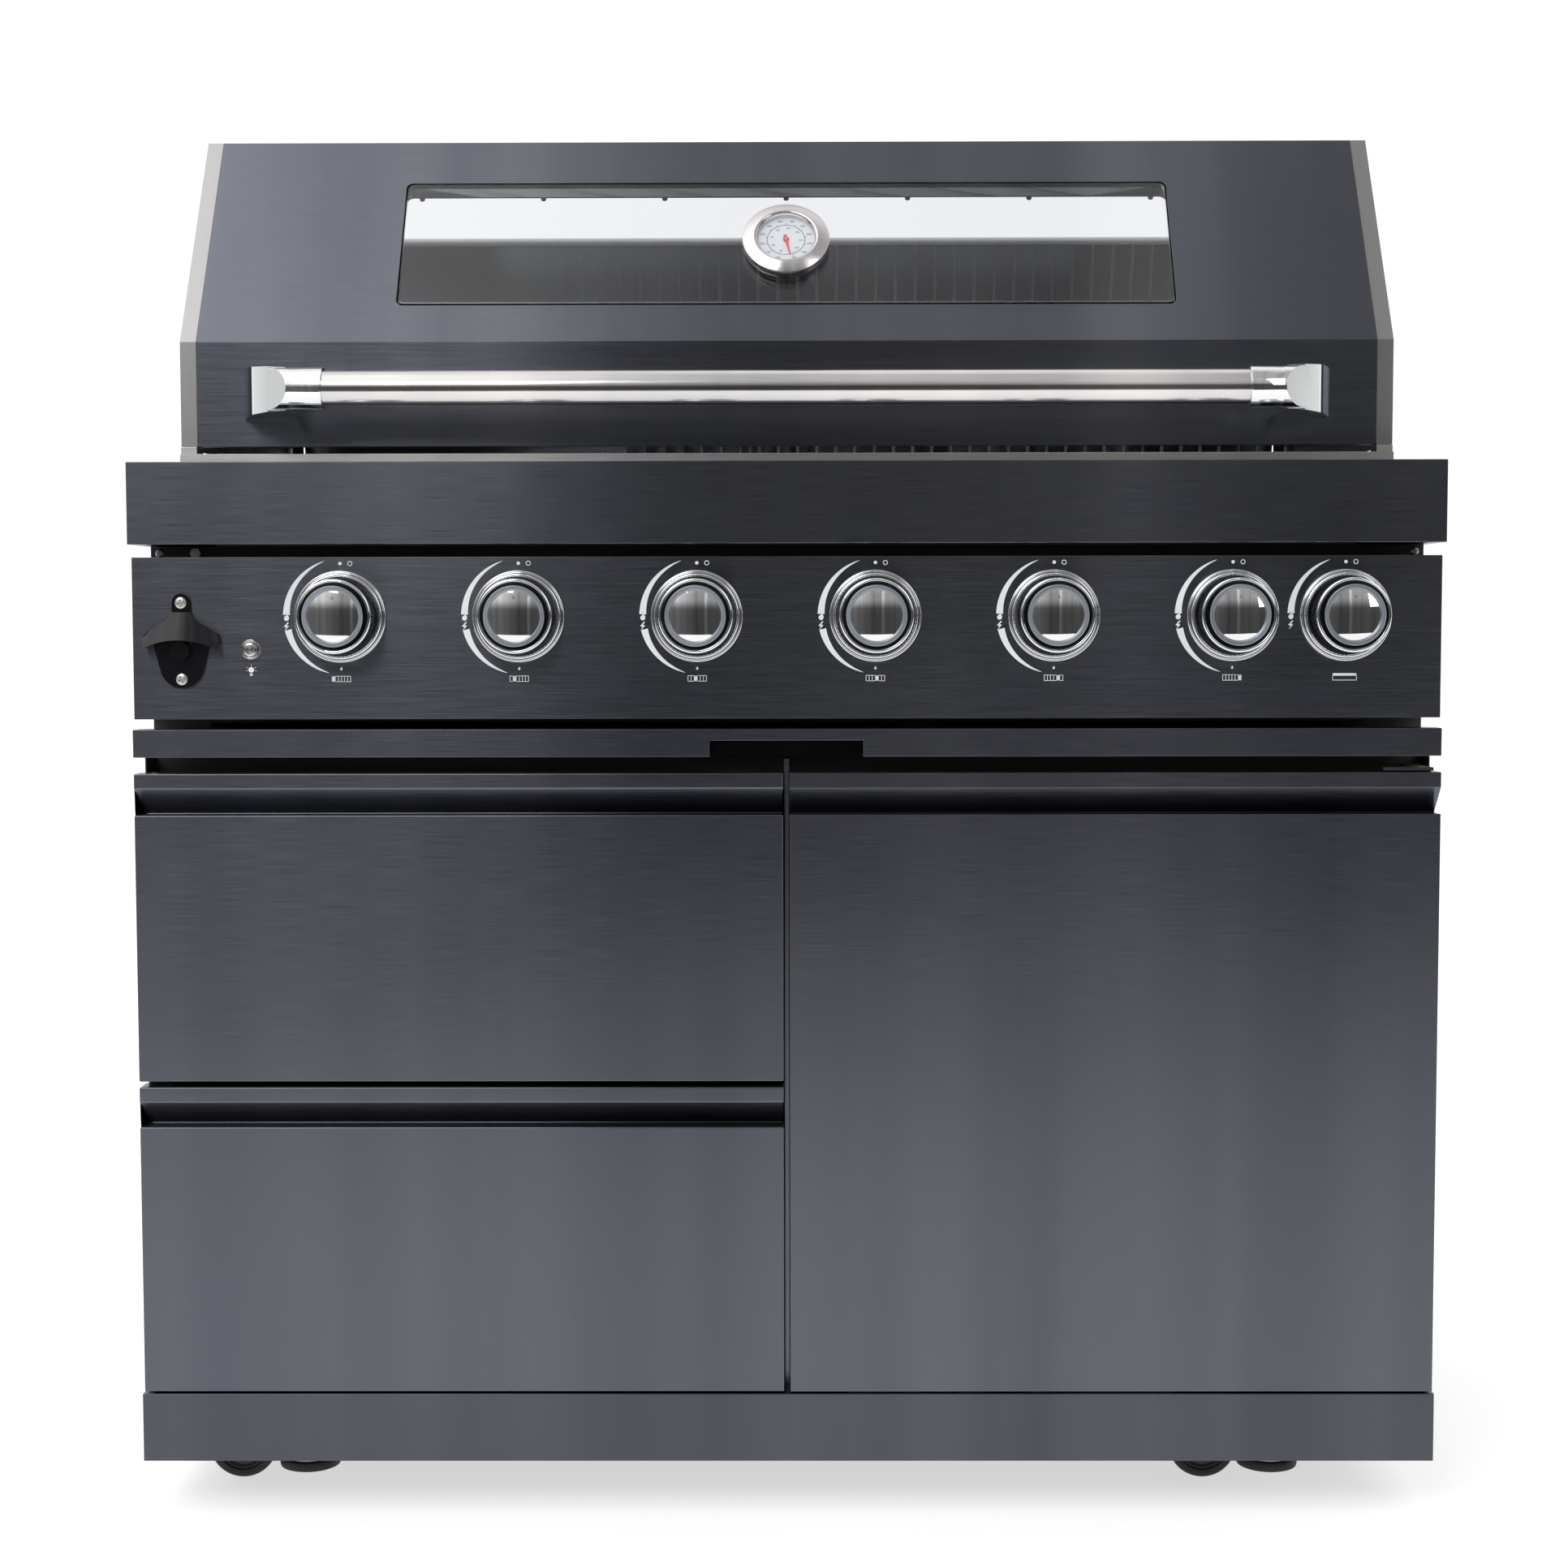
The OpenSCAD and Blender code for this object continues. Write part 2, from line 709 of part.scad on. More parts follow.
// Stepped ring round each knob, and the ring of the light button
module control_bezels() {
    color(bright_steel) {
        for (x = knob_xs)
            on_panel(x, knob_z) rotate_extrude($fn = 96)
                polygon([[33.5, 0], [39.4, 0], [39.4, 4], [38, 6], [34.5, 8], [33.5, 8]]);
        on_panel(button_x, button_z) rotate_extrude()
            polygon([[button_r + 0.3, 0], [9, 0], [9, 1.5], [8, 2.5], [button_r + 0.3, 2.5]]);
    }
}

// Turned knob, hollow round a central boss, with a raised pointer on its face
module knob(i) {
    base_z = 5.5;
    top_z = knob_reach + 1;
    face_z = top_z - 0.6;
    bore_h = top_z - base_z - 15.5;
    inner_h = top_z - base_z - 7;
    color(bright_steel) on_panel(knob_xs[i], knob_z) difference() {
        union() {
            rotate_extrude($fn = 96)
                polygon([[0, base_z], [31, base_z], [31, 31], [31.8, 33], [31.8, 36], [29.5, 39],
                         [28.5, 38], [26.2, 38], [25.8, face_z], [0, face_z]]);
            translate([0, 16.5, face_z - 1]) linear_extrude(1.6)
                polygon([[-2.2, -2], [2.2, -2], [0, 2.2]]);
        }
        translate([0, 0, base_z]) cylinder(r = stem_r + running, h = bore_h);
        translate([0, 0, base_z]) rotate_extrude($fn = 96)
            polygon([[11, -1], [28.5, -1], [28.5, 24], [22.5, inner_h], [11, inner_h]]);
    }
}

module light_button() {
    color(bright_steel) {
        rod_y(button_r, panel_y - 5, panel_y + 16, button_x, button_z);
        rod_y(button_r + 2, panel_y + 4, panel_y + 6, button_x, button_z);
    }
}

// Cast opener: tapered back plate with a cap catch, under a shield-shaped curved hood
module bottle_opener() {
    plate_t = 2.5;
    tab_r = 8;
    neck_l = 29;
    foot_r = 19;
    shoulder = [14, opener_z1 - 44];
    wing = 33;
    wing_z = opener_z1 - 47;
    arch_r = 72;
    arch_z = opener_z1 - 40;
    crown_z0 = opener_z1 - 48;
    crown_h = 32;
    crown_r0 = 54;
    crown_r1 = 34;
    crown_sink = 30;
    wall = 3;
    color([0.05, 0.05, 0.05]) on_panel(opener_x, 0) difference() {
        union() {
            linear_extrude(plate_t) hull() {
                translate([0, opener_z1 - tab_r]) circle(tab_r, $fn = 32);
                translate([0, opener_z1 - neck_l]) circle(tab_r, $fn = 32);
            }
            linear_extrude(plate_t) hull() {
                translate([0, opener_z1 - neck_l]) circle(tab_r, $fn = 32);
                for (s = [-1, 1])
                    translate([s * shoulder.x, shoulder.y]) circle(10, $fn = 32);
                translate([0, opener_z0 + foot_r]) circle(foot_r, $fn = 48);
            }
            translate([0, opener_z1 - 49, 0]) cylinder(r = tab_r, h = 10);
            difference() {
                intersection() {
                    linear_extrude(40)
                        polygon([[-tab_r, opener_z1 - 16], [-11, opener_z1 - 21],
                                 [-wing + 2, opener_z1 - 34], [-wing, wing_z + 10],
                                 [-wing + 1, wing_z], [wing - 1, wing_z],
                                 [wing, wing_z + 10], [wing - 2, opener_z1 - 34],
                                 [11, opener_z1 - 21], [tab_r, opener_z1 - 16]]);
                    translate([0, crown_z0 + crown_h, -crown_sink]) rotate([90, 0, 0])
                        cylinder(r1 = crown_r1, r2 = crown_r0, h = crown_h);
                }
                translate([0, crown_z0 + crown_h, -crown_sink]) rotate([90, 0, 0])
                    cylinder(r1 = crown_r1 - wall, r2 = crown_r0 - wall, h = crown_h + 0.01);
                translate([0, arch_z - arch_r, -1]) cylinder(r = arch_r, h = 42, $fn = 96);
            }
        }
        for (z = opener_screw_zs)
            translate([0, z, -1]) cylinder(r = opener_screw_r / 2 + 0.1, h = 5);
    }
}

// Opener screws, chassis screws and the four caster stems with their nuts
module fasteners() {
    color(bright_steel) {
        for (z = opener_screw_zs) {
            rod_y(opener_screw_r / 2, panel_y - 2.5, panel_y + 8, opener_x, z);
            rod_y(opener_screw_r, panel_y - 4.5, panel_y - 2.5, opener_x, z);
        }
        for (x = [-552, 552])
            rod_y(4, chassis_y - 2, chassis_y, x, 841);
        rod_y(5, chassis_y - 3, chassis_y, -520, 841);
        for (p = caster_at) {
            rod_z(caster_stem_r, swivel_z - 4, floor_z + 8, p.x, p.y);
            rod_z(14, floor_z - sheet - 6, floor_z - sheet, p.x, p.y);
            rod_z(10, floor_z, floor_z + 6, p.x, p.y);
        }
    }
}

// ---------- hood ----------

// Outer profile of the hood's sheet in (Y, Z), moved inwards by d
function hood_points(d) = [
    [hood_y + d, hood_z0],
    [hood_y + d, bend_z - d * tan((90 - slope_angle) / 2)],
    [top_y + d * tan(slope_angle / 2), slope_z - d],
    [lip_y - d, hood_top_z - d]];

// Centre line of the sheet turned into a strip of the sheet's thickness
module hood_strip(t) {
    lo = hood_points(t);
    hi = hood_points(0);
    polygon([hi[0], hi[1], hi[2], hi[3], [lip_y, lip_z], [lip_y - t, lip_z],
             lo[3], lo[2], lo[1], [hood_y + t, hood_z0 + t], [hood_y + 12, hood_z0 + t],
             [hood_y + 12, hood_z0]]);
}

module hood_shell() {
    color(black_steel) difference() {
        along_x(-shell_x, shell_x) hood_strip(sheet);
        on_slope() translate([0, 0, -10]) linear_extrude(20)
            round_rect(-window_w / 2, window_w / 2, window_v0, window_v1, 6);
    }
}

// Side cheek outline with a round rear foot about the hinge pin
module cap_outline() {
    polygon([[hood_y, hood_z0], hood_points(0)[1], hood_points(0)[2], hood_points(0)[3],
             [215, 1180], [pivot_y + pivot_r, 1070], [pivot_y + pivot_r, pivot_z],
             [pivot_y, pivot_z], [pivot_y, hood_z0]]);
    translate([pivot_y, pivot_z]) circle(pivot_r, $fn = 96);
}

module hood_end_caps() {
    color(bright_steel)
        for (s = [0, 1]) mirror([s, 0, 0]) difference() {
            union() {
                along_x(hood_x - sheet, hood_x) cap_outline();
                along_x(shell_x, hood_x) hood_strip(sheet);
                rod_x(12, cheek_x + 7, hood_x, pivot_y, pivot_z);
            }
            rod_x(hinge_r + running, cheek_x, hood_x + 1, pivot_y, pivot_z);
        }
}

module window_glass() {
    inset = 1.5;
    color([0.6, 0.75, 0.72, 0.4]) on_slope() translate([0, 0, -glass_t]) difference() {
        linear_extrude(glass_t)
            round_rect(-window_w / 2 + inset, window_w / 2 - inset,
                       window_v0 + inset, window_v1 - inset, 5);
        translate([0, dial_v, -1]) cylinder(r = 6, h = glass_t + 2);
    }
}

// Retaining frame behind the glass with its row of screws
module window_frame() {
    outer = window_w / 2 + 12;
    screws = 7;
    pitch = (window_w - 26) / (screws - 1);
    color(dark_steel) on_slope() {
        translate([0, 0, -glass_t - sheet]) linear_extrude(sheet) difference() {
            round_rect(-outer, outer, window_v0 - 12, window_v1 + 12, 4);
            round_rect(-window_w / 2 + 1, window_w / 2 - 1, frame_v0, frame_v1, 6);
        }
        for (v = [window_v0 - 11, window_v1 + 5])
            translate([-outer + 2, v, -glass_t]) cube([2 * outer - 4, 6, glass_t - sheet - 0.15]);
        for (i = [0 : screws - 1])
            translate([(i - (screws - 1) / 2) * pitch, frame_v1 + 5, -glass_t - sheet - 7])
                cylinder(r = 2.5, h = 7);
    }
}

module handle_tube() {
    end_x = bracket_x0 + 22;
    color(bright_steel) difference() {
        rod_x(handle_r, -end_x, end_x, handle_y, handle_z);
        rod_x(handle_r - handle_wall, -end_x - 1, end_x + 1, handle_y, handle_z);
    }
}

module handle_brackets() {
    sleeve_r = handle_r + 2.4;
    foot_h = 21.5;
    facet_x = bracket_x0 + 29;
    facet_end = [bracket_x1 - 15, handle_y + 14];
    side_start = [bracket_x1 - 9, handle_y + 22];
    color(bright_steel)
        for (s = [0, 1]) mirror([s, 0, 0]) difference() {
            intersection() {
                union() {
                    rod_x(sleeve_r, bracket_x0, side_start[0], handle_y, handle_z);
                    translate([0, 0, handle_z - foot_h]) linear_extrude(2 * foot_h)
                        polygon([[facet_x + 4, handle_y], [bracket_x1 + 2, handle_y],
                                 [bracket_x1 + 2, hood_y], [bracket_x1 - 42, hood_y]]);
                }
                translate([0, 0, handle_z - foot_h]) linear_extrude(2 * foot_h)
                    polygon([[bracket_x0, handle_y - sleeve_r - 1], [facet_x - 1, handle_y - sleeve_r - 1],
                             facet_end, side_start, [bracket_x1 + 2, hood_y], [bracket_x0, hood_y]]);
                translate([0, hood_y, handle_z]) rotate([90, 0, 0]) linear_extrude(hood_y - handle_y + 20)
                    polygon([[bracket_x0, -sleeve_r], [facet_x, -sleeve_r], [bracket_x1 + 2, -foot_h],
                             [bracket_x1 + 2, foot_h], [facet_x, sleeve_r], [bracket_x0, sleeve_r]]);
            }
            rod_x(handle_r + running, bracket_x0 - 1, bracket_x0 + 22 + gap, handle_y, handle_z);
        }
}

module thermometer_case() {
    color(bright_steel) on_dial() {
        difference() {
            rotate_extrude($fn = 96)
                polygon([[0, 0.5], [case_r - 1, 0.5], [case_r, 1.5], [case_r, case_wall_h],
                         [case_ridge_r, case_h], [case_ridge_r - 2, case_h], [dial_r, case_h - 2.2],
                         [dial_r, dial_z], [0, dial_z]]);
            cylinder(r = 1.2, h = dial_z + 1);
        }
        difference() {
            union() {
                translate([0, 0, -60]) cylinder(r = 3, h = 60.5);
                translate([0, 0, -glass_t - 8]) cylinder(r = 10, h = 8);
            }
            translate([0, 0, -8]) cylinder(r = 1.2, h = 9);
        }
    }
}

module thermometer_needle() {
    color("red") on_dial() {
        translate([0, 0, dial_z - 4]) cylinder(r = 1.15, h = 6);
        translate([0, 0, dial_z + 0.8]) rotate([0, 0, 12]) linear_extrude(0.8)
            polygon([[-1.6, 5], [1.6, 5], [1.2, 0], [0.4, -17.5], [-0.4, -17.5], [-1.2, 0]]);
        translate([0, 0, dial_z + 0.8]) cylinder(r = 3, h = 1.4);
    }
}

// ---------- drip tray ----------

module drip_tray() {
    half = front_w / 2;
    wall = 1.2;
    color(black_steel) {
        difference() {
            block([-half, front_y, tray_z0], [half, front_back_y, tray_z1]);
            for (s = [0, 1]) mirror([s, 0, 0])
                block([notch_w / 2 + sheet, front_y + sheet, tray_z0 + sheet],
                      [half - sheet, front_back_y - sheet, tray_z1 - sheet]);
            block([-notch_w / 2, front_y - 1, tray_z0 - 1],
                  [notch_w / 2, front_back_y - sheet, tray_z0 + notch_h]);
        }
        difference() {
            block([-pan_x, front_back_y, tray_z0 + 1], [pan_x, pan_y1, tray_z1 - 2]);
            block([-pan_x + wall, front_back_y + wall, tray_z0 + 1 + wall],
                  [pan_x - wall, pan_y1 - wall, tray_z1]);
        }
        block_pair([pan_x, chassis_y + 6, runner_z + sheet + gap],
                   [runner_x - 6, pan_y1, tray_z1 - 2]);
    }
}

// ---------- casters ----------

module caster_frame(i) {
    fork_y = wheel_w / 2 + 1;
    color(dark_steel) translate(caster_at[i - 1]) {
        difference() {
            union() {
                rod_z(24, swivel_z, swivel_z + 8, 0, 0);
                block([-wheel_trail - 12, -fork_y - fork_t, swivel_z], [0, fork_y + fork_t, swivel_z + 5]);
                rod_z(11, 34, swivel_z, 0, 0);
                block([-22, -fork_y - fork_t, 44], [0, -fork_y, swivel_z]);
                block([-22, fork_y, 44], [0, fork_y + fork_t, swivel_z]);
            }
            rod_z(caster_stem_r + running, swivel_z - 4.5, swivel_z + 9, 0, 0);
            rod_z(spindle_r + running, 30, swivel_z - 5, 0, 0);
        }
        for (s = [0, 1]) mirror([0, s, 0]) {
            block([-wheel_trail - 12, fork_y, wheel_r], [-wheel_trail + 12, fork_y + fork_t, swivel_z]);
            rod_y(12, fork_y, fork_y + fork_t, -wheel_trail, wheel_r);
        }
        rod_y(axle_r, -fork_y - fork_t - 1, fork_y + fork_t + 1, -wheel_trail, wheel_r);
    }
}

module caster_wheel(i) {
    hub_r = wheel_r - 9;
    color(rubber) translate(caster_at[i - 1]) translate([-wheel_trail, 0, wheel_r]) rotate([90, 0, 0])
        rotate_extrude($fn = 96)
            polygon([[axle_r + running, -wheel_w / 2], [10, -wheel_w / 2], [11, -wheel_w / 2 + 2],
                     [hub_r, -wheel_w / 2 + 2], [hub_r + 1, -wheel_w / 2], [wheel_r - 3, -wheel_w / 2],
                     [wheel_r, -wheel_w / 2 + 4], [wheel_r, wheel_w / 2 - 4],
                     [wheel_r - 3, wheel_w / 2], [hub_r + 1, wheel_w / 2], [hub_r, wheel_w / 2 - 2],
                     [11, wheel_w / 2 - 2], [10, wheel_w / 2], [axle_r + running, wheel_w / 2]]);
}

// The four levelling pads on their threaded spindles
module levelling_feet() {
    color(rubber)
        for (p = caster_at) {
            rod_z(pad_r, pad_lift, pad_lift + pad_h, p.x, p.y);
            rod_z(pad_r - 4, pad_lift + pad_h, pad_lift + pad_h + 3, p.x, p.y);
            rod_z(spindle_r, pad_lift + pad_h, swivel_z - 7, p.x, p.y);
        }
}

cabinet_sides();
cabinet_back();
cabinet_floor();
center_divider();
kick_plate();
bench_top_frame();
control_panel();
head_chassis();
firebox();
rear_wall();
hinge_pins();
main_burners();
flame_tamers();
cooking_grates();
hotplate();
back_burner();
gas_manifold();
gas_valves();
control_bezels();
bottle_opener();
fasteners();
drawer_rails();
hood_shell();
hood_end_caps();
window_glass();
window_frame();
handle_tube();
handle_brackets();
thermometer_case();
thermometer_needle();
light_button();
upper_drawer_front();
upper_drawer_box();
lower_drawer_front();
lower_drawer_box();
door_panel();
drip_tray();
levelling_feet();
for (i = [1 : 7])
    valve_stem(i - 1);
for (i = [1 : 7])
    knob(i - 1);
for (i = [1 : 4])
    caster_frame(i);
for (i = [1 : 4])
    caster_wheel(i);
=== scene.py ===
"""Gas barbecue grill: black brushed steel hood, control panel and cabinet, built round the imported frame."""

import json
import math

import bmesh
import bpy
from mathutils import Matrix, Vector

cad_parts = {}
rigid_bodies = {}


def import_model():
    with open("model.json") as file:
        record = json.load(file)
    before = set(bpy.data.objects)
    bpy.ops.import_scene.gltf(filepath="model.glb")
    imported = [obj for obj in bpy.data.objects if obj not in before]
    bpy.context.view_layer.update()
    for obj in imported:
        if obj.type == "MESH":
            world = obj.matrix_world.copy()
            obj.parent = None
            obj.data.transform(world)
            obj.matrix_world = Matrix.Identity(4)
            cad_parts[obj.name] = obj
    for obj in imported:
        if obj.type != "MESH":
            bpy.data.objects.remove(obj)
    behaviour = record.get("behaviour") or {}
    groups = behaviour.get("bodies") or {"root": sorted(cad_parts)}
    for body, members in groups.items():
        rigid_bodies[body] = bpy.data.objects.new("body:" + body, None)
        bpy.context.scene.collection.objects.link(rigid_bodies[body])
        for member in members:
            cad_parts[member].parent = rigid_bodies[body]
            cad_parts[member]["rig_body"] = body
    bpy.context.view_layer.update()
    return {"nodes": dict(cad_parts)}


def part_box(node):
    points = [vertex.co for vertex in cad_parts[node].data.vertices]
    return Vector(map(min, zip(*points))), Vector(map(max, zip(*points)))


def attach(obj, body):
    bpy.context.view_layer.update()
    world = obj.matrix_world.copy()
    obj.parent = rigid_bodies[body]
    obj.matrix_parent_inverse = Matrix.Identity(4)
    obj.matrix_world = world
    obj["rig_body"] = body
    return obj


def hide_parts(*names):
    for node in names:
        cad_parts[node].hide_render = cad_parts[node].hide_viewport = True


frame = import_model()
MM = 0.001

# Sheet thickness of the tray's front rail and the half width and height of its finger notch
FRONT_T = 0.024
NOTCH_HALF_W, NOTCH_H = 0.0658, 0.0139
# Face of the head chassis between bench top and control panel, with the places of its screws and bolt
CHASSIS_FACE_Y, CHASSIS_SCREW_Z = -0.220, 0.841
CHASSIS_SCREW_X, HEX_BOLT_X = 0.552, -0.520
# Rear wall: the fold along its top, the sheet and the radius the fold is rolled to
WALL_FOLD_Y, WALL_FOLD_Z, WALL_SHEET, WALL_ROLL = 0.190, 1.177, 0.0015, 0.009
# Rear wall: where its duller fold band begins, where the painted reflections of the grate bars fade in from
# the left, how dense they are
FOLD_BAND_Z, BAR_REFLECTION_X, BAR_REFLECTION_SCALE = (1.1668, 1.1682), (-0.3, 0.02), 15.4
# Fasteners above this height are screws; the bottle opener's two stand this far from its lower and upper edge
SCREWS_ABOVE, OPENER_SCREW_LOW, OPENER_SCREW_HIGH = 0.6, 0.0075, 0.008
# Hood: height of the bend, top of the slope and how far back the slope runs
BEND_Z, SLOPE_TOP_Z, SLOPE_RUN = 1.025, 1.219, 0.121
# Thermometer: how far up the slope it stands, height of the dial print (mm), resting angle of the needle
DIAL_UP, DIAL_TOP, NEEDLE_REST = 0.1076, 6.52, 12
# Lamp icon: distance under the light button
LAMP_DROP = 0.0175
# Caster pads stand this far from their wheels
PAD_OFFSET = 0.060
# Floor slab: half width, front edge, back edge and thickness
FLOOR_HALF_W, FLOOR_FRONT, FLOOR_BACK, FLOOR_T = 14, -2.7, 14, 0.02
# Camera: focal length and sensor (mm), position, then turn, downward tilt and roll in degrees
LENS, SENSOR = 57.23, 36
CAMERA_AT, CAMERA_TURN, CAMERA_TILT, CAMERA_ROLL = (0.00906, -2.42176, 0.7790), 0.299, 3.697, -0.103
# Studio surround as (position, level) stops: up from the horizon, then left to right low down and overhead
HEIGHT_LEVELS = ((0.0, 0.07), (0.1, 0.08), (0.3, 0.42), (0.6, 0.66), (1.0, 0.7))
LOW_LEVELS = ((0.0, 0.62), (0.2, 0.55), (0.32, 0.4), (0.42, 0.34), (0.52, 0.24), (0.62, 0.27), (0.648, 0.5),
              (0.672, 0.5), (0.7, 0.32), (0.85, 0.35), (1.0, 0.34))
HIGH_LEVELS = ((0.0, 1.0), (0.2, 0.98), (0.32, 0.68), (0.42, 0.48), (0.52, 0.31), (0.62, 0.27), (0.648, 0.4),
               (0.672, 0.4), (0.7, 0.25), (0.85, 0.23), (1.0, 0.22))
SURROUND_HALF_X, OVERHEAD, BEHIND, BEHIND_LEVEL = 0.42, (0.35, 0.75), (-0.15, 0.3), 1.08

# ---------- materials ----------


def new_material(name, **inputs):
    """A node material with its Principled shader's sockets set from keywords."""
    mat = bpy.data.materials.new(name)
    mat.use_nodes = True
    shader = mat.node_tree.nodes["Principled BSDF"]
    for key, value in inputs.items():
        shader.inputs[key.replace("_", " ")].default_value = value
    return mat, mat.node_tree, shader


def add_node(tree, kind, **settings):
    node = tree.nodes.new(kind)
    for key, value in settings.items():
        if key in node.inputs:
            node.inputs[key].default_value = value
        else:
            setattr(node, key, value)
    return node


def noise(tree, scale, stretch=(1, 1, 1), detail=4.0, source="Object"):
    """Noise over the piece's own coordinates, stretched per axis."""
    coords = tree.nodes.new("ShaderNodeTexCoord")
    mapping = tree.nodes.new("ShaderNodeMapping")
    mapping.inputs["Scale"].default_value = stretch
    texture = tree.nodes.new("ShaderNodeTexNoise")
    texture.inputs["Scale"].default_value = scale
    texture.inputs["Detail"].default_value = detail
    tree.links.new(coords.outputs[source], mapping.inputs["Vector"])
    tree.links.new(mapping.outputs["Vector"], texture.inputs["Vector"])
    return texture.outputs["Fac"]


def ramp(tree, factor, low, high, at=(0.3, 0.7)):
    node = tree.nodes.new("ShaderNodeValToRGB")
    for element, place, colour in zip(node.color_ramp.elements, at, (low, high)):
        element.position = place
        element.color = (*colour, 1)
    tree.links.new(factor, node.inputs["Fac"])
    return node.outputs["Color"]


def spread(tree, factor, low, high, source=(0.3, 0.7)):
    node = tree.nodes.new("ShaderNodeMapRange")
    for key, value in zip(("From Min", "From Max", "To Min", "To Max"), (*source, low, high)):
        node.inputs[key].default_value = value
    tree.links.new(factor, node.inputs["Value"])
    return node.outputs["Result"]


def blend_colour(tree, factor, first, second, **settings):
    """Mixes two colours; each input is either a socket or a fixed value."""
    node = add_node(tree, "ShaderNodeMix", data_type="RGBA", **settings)
    for key, value in (("Factor", factor), ("A", first), ("B", second)):
        if isinstance(value, bpy.types.NodeSocket):
            tree.links.new(value, node.inputs[key])
        else:
            node.inputs[key].default_value = value
    return node.outputs["Result"]


def combine(tree, operation, first, second):
    node = add_node(tree, "ShaderNodeMath", operation=operation)
    tree.links.new(first, node.inputs[0])
    tree.links.new(second, node.inputs[1])
    return node.outputs[0]


def bump(tree, shader, height, distance, strength=0.5):
    node = tree.nodes.new("ShaderNodeBump")
    node.inputs["Strength"].default_value = strength
    node.inputs["Distance"].default_value = distance
    tree.links.new(height, node.inputs["Height"])
    tree.links.new(node.outputs["Normal"], shader.inputs["Normal"])


def level_tangent(tree, shader):
    """The level direction in the surface, which the brushing follows."""
    geometry = tree.nodes.new("ShaderNodeNewGeometry")
    cross = tree.nodes.new("ShaderNodeVectorMath")
    cross.operation = "CROSS_PRODUCT"
    cross.inputs[1].default_value = (0, 0.001, 1)
    unit = tree.nodes.new("ShaderNodeVectorMath")
    unit.operation = "NORMALIZE"
    tree.links.new(geometry.outputs["True Normal"], cross.inputs[0])
    tree.links.new(cross.outputs[0], unit.inputs[0])
    tree.links.new(unit.outputs[0], shader.inputs["Tangent"])


def shade(colour, factor):
    return tuple(c * factor for c in colour)


def brushed(name, colour, roughness, anisotropy, grain=(22, 2300, 2300), depth=0.000006, contrast=0.06,
            ring=None):
    """Brushed sheet: fine grain in colour, roughness and bump, with faint smudges and soft upright bands of
    painted reflection.

    The grain runs level, or round the given axis of a turned piece."""
    mat, tree, shader = new_material(name, Metallic=1.0, Anisotropic=anisotropy, Anisotropic_Rotation=0.25)
    fine = noise(tree, 1.0, grain, 3.0)
    smudge = noise(tree, 2.2, (1, 1, 1), 3.0)
    # Painted reflection: soft upright bands, lighter and darker, multiplied into the colour of every brushed
    # finish
    reflection_band = noise(tree, 1.0, (11, 1, 0.5), 2.0)
    grained = ramp(tree, fine, shade(colour, 1 - contrast), shade(colour, 1 + contrast))
    smudged = blend_colour(tree, 1.0, grained, ramp(tree, smudge, (0.93, 0.93, 0.94), (1, 1, 1)),
                           blend_type="MULTIPLY")
    reflection_banded = blend_colour(tree, 1.0, smudged, ramp(tree, reflection_band, (0.88, 0.885, 0.9), (1.12, 1.11, 1.1)),
                         blend_type="MULTIPLY")
    tree.links.new(reflection_banded, shader.inputs["Base Color"])
    rough = combine(tree, "ADD", spread(tree, fine, roughness - 0.03, roughness + 0.03),
                    spread(tree, smudge, -0.02, 0.02))
    tree.links.new(rough, shader.inputs["Roughness"])
    bump(tree, shader, fine, depth, 0.35)
    if ring is None:
        level_tangent(tree, shader)
    else:
        tangent = add_node(tree, "ShaderNodeTangent", direction_type="RADIAL", axis=ring)
        tree.links.new(tangent.outputs[0], shader.inputs["Tangent"])
    return mat


def plain(name, colour, roughness, metallic=0.0, speck=300.0, depth=0.0, vary=0.06, **inputs):
    """A smooth or cast finish with slight variation in colour and roughness."""
    mat, tree, shader = new_material(name, Metallic=metallic, **inputs)
    cloud = noise(tree, 9.0, (1, 1, 1), 4.0)
    clouded = ramp(tree, cloud, shade(colour, 1 - vary), shade(colour, 1 + vary))
    tree.links.new(clouded, shader.inputs["Base Color"])
    tree.links.new(spread(tree, cloud, roughness * 0.85, roughness * 1.15), shader.inputs["Roughness"])
    if depth:
        bump(tree, shader, noise(tree, speck, (1, 1, 1), 5.0), depth, 0.6)
    return mat


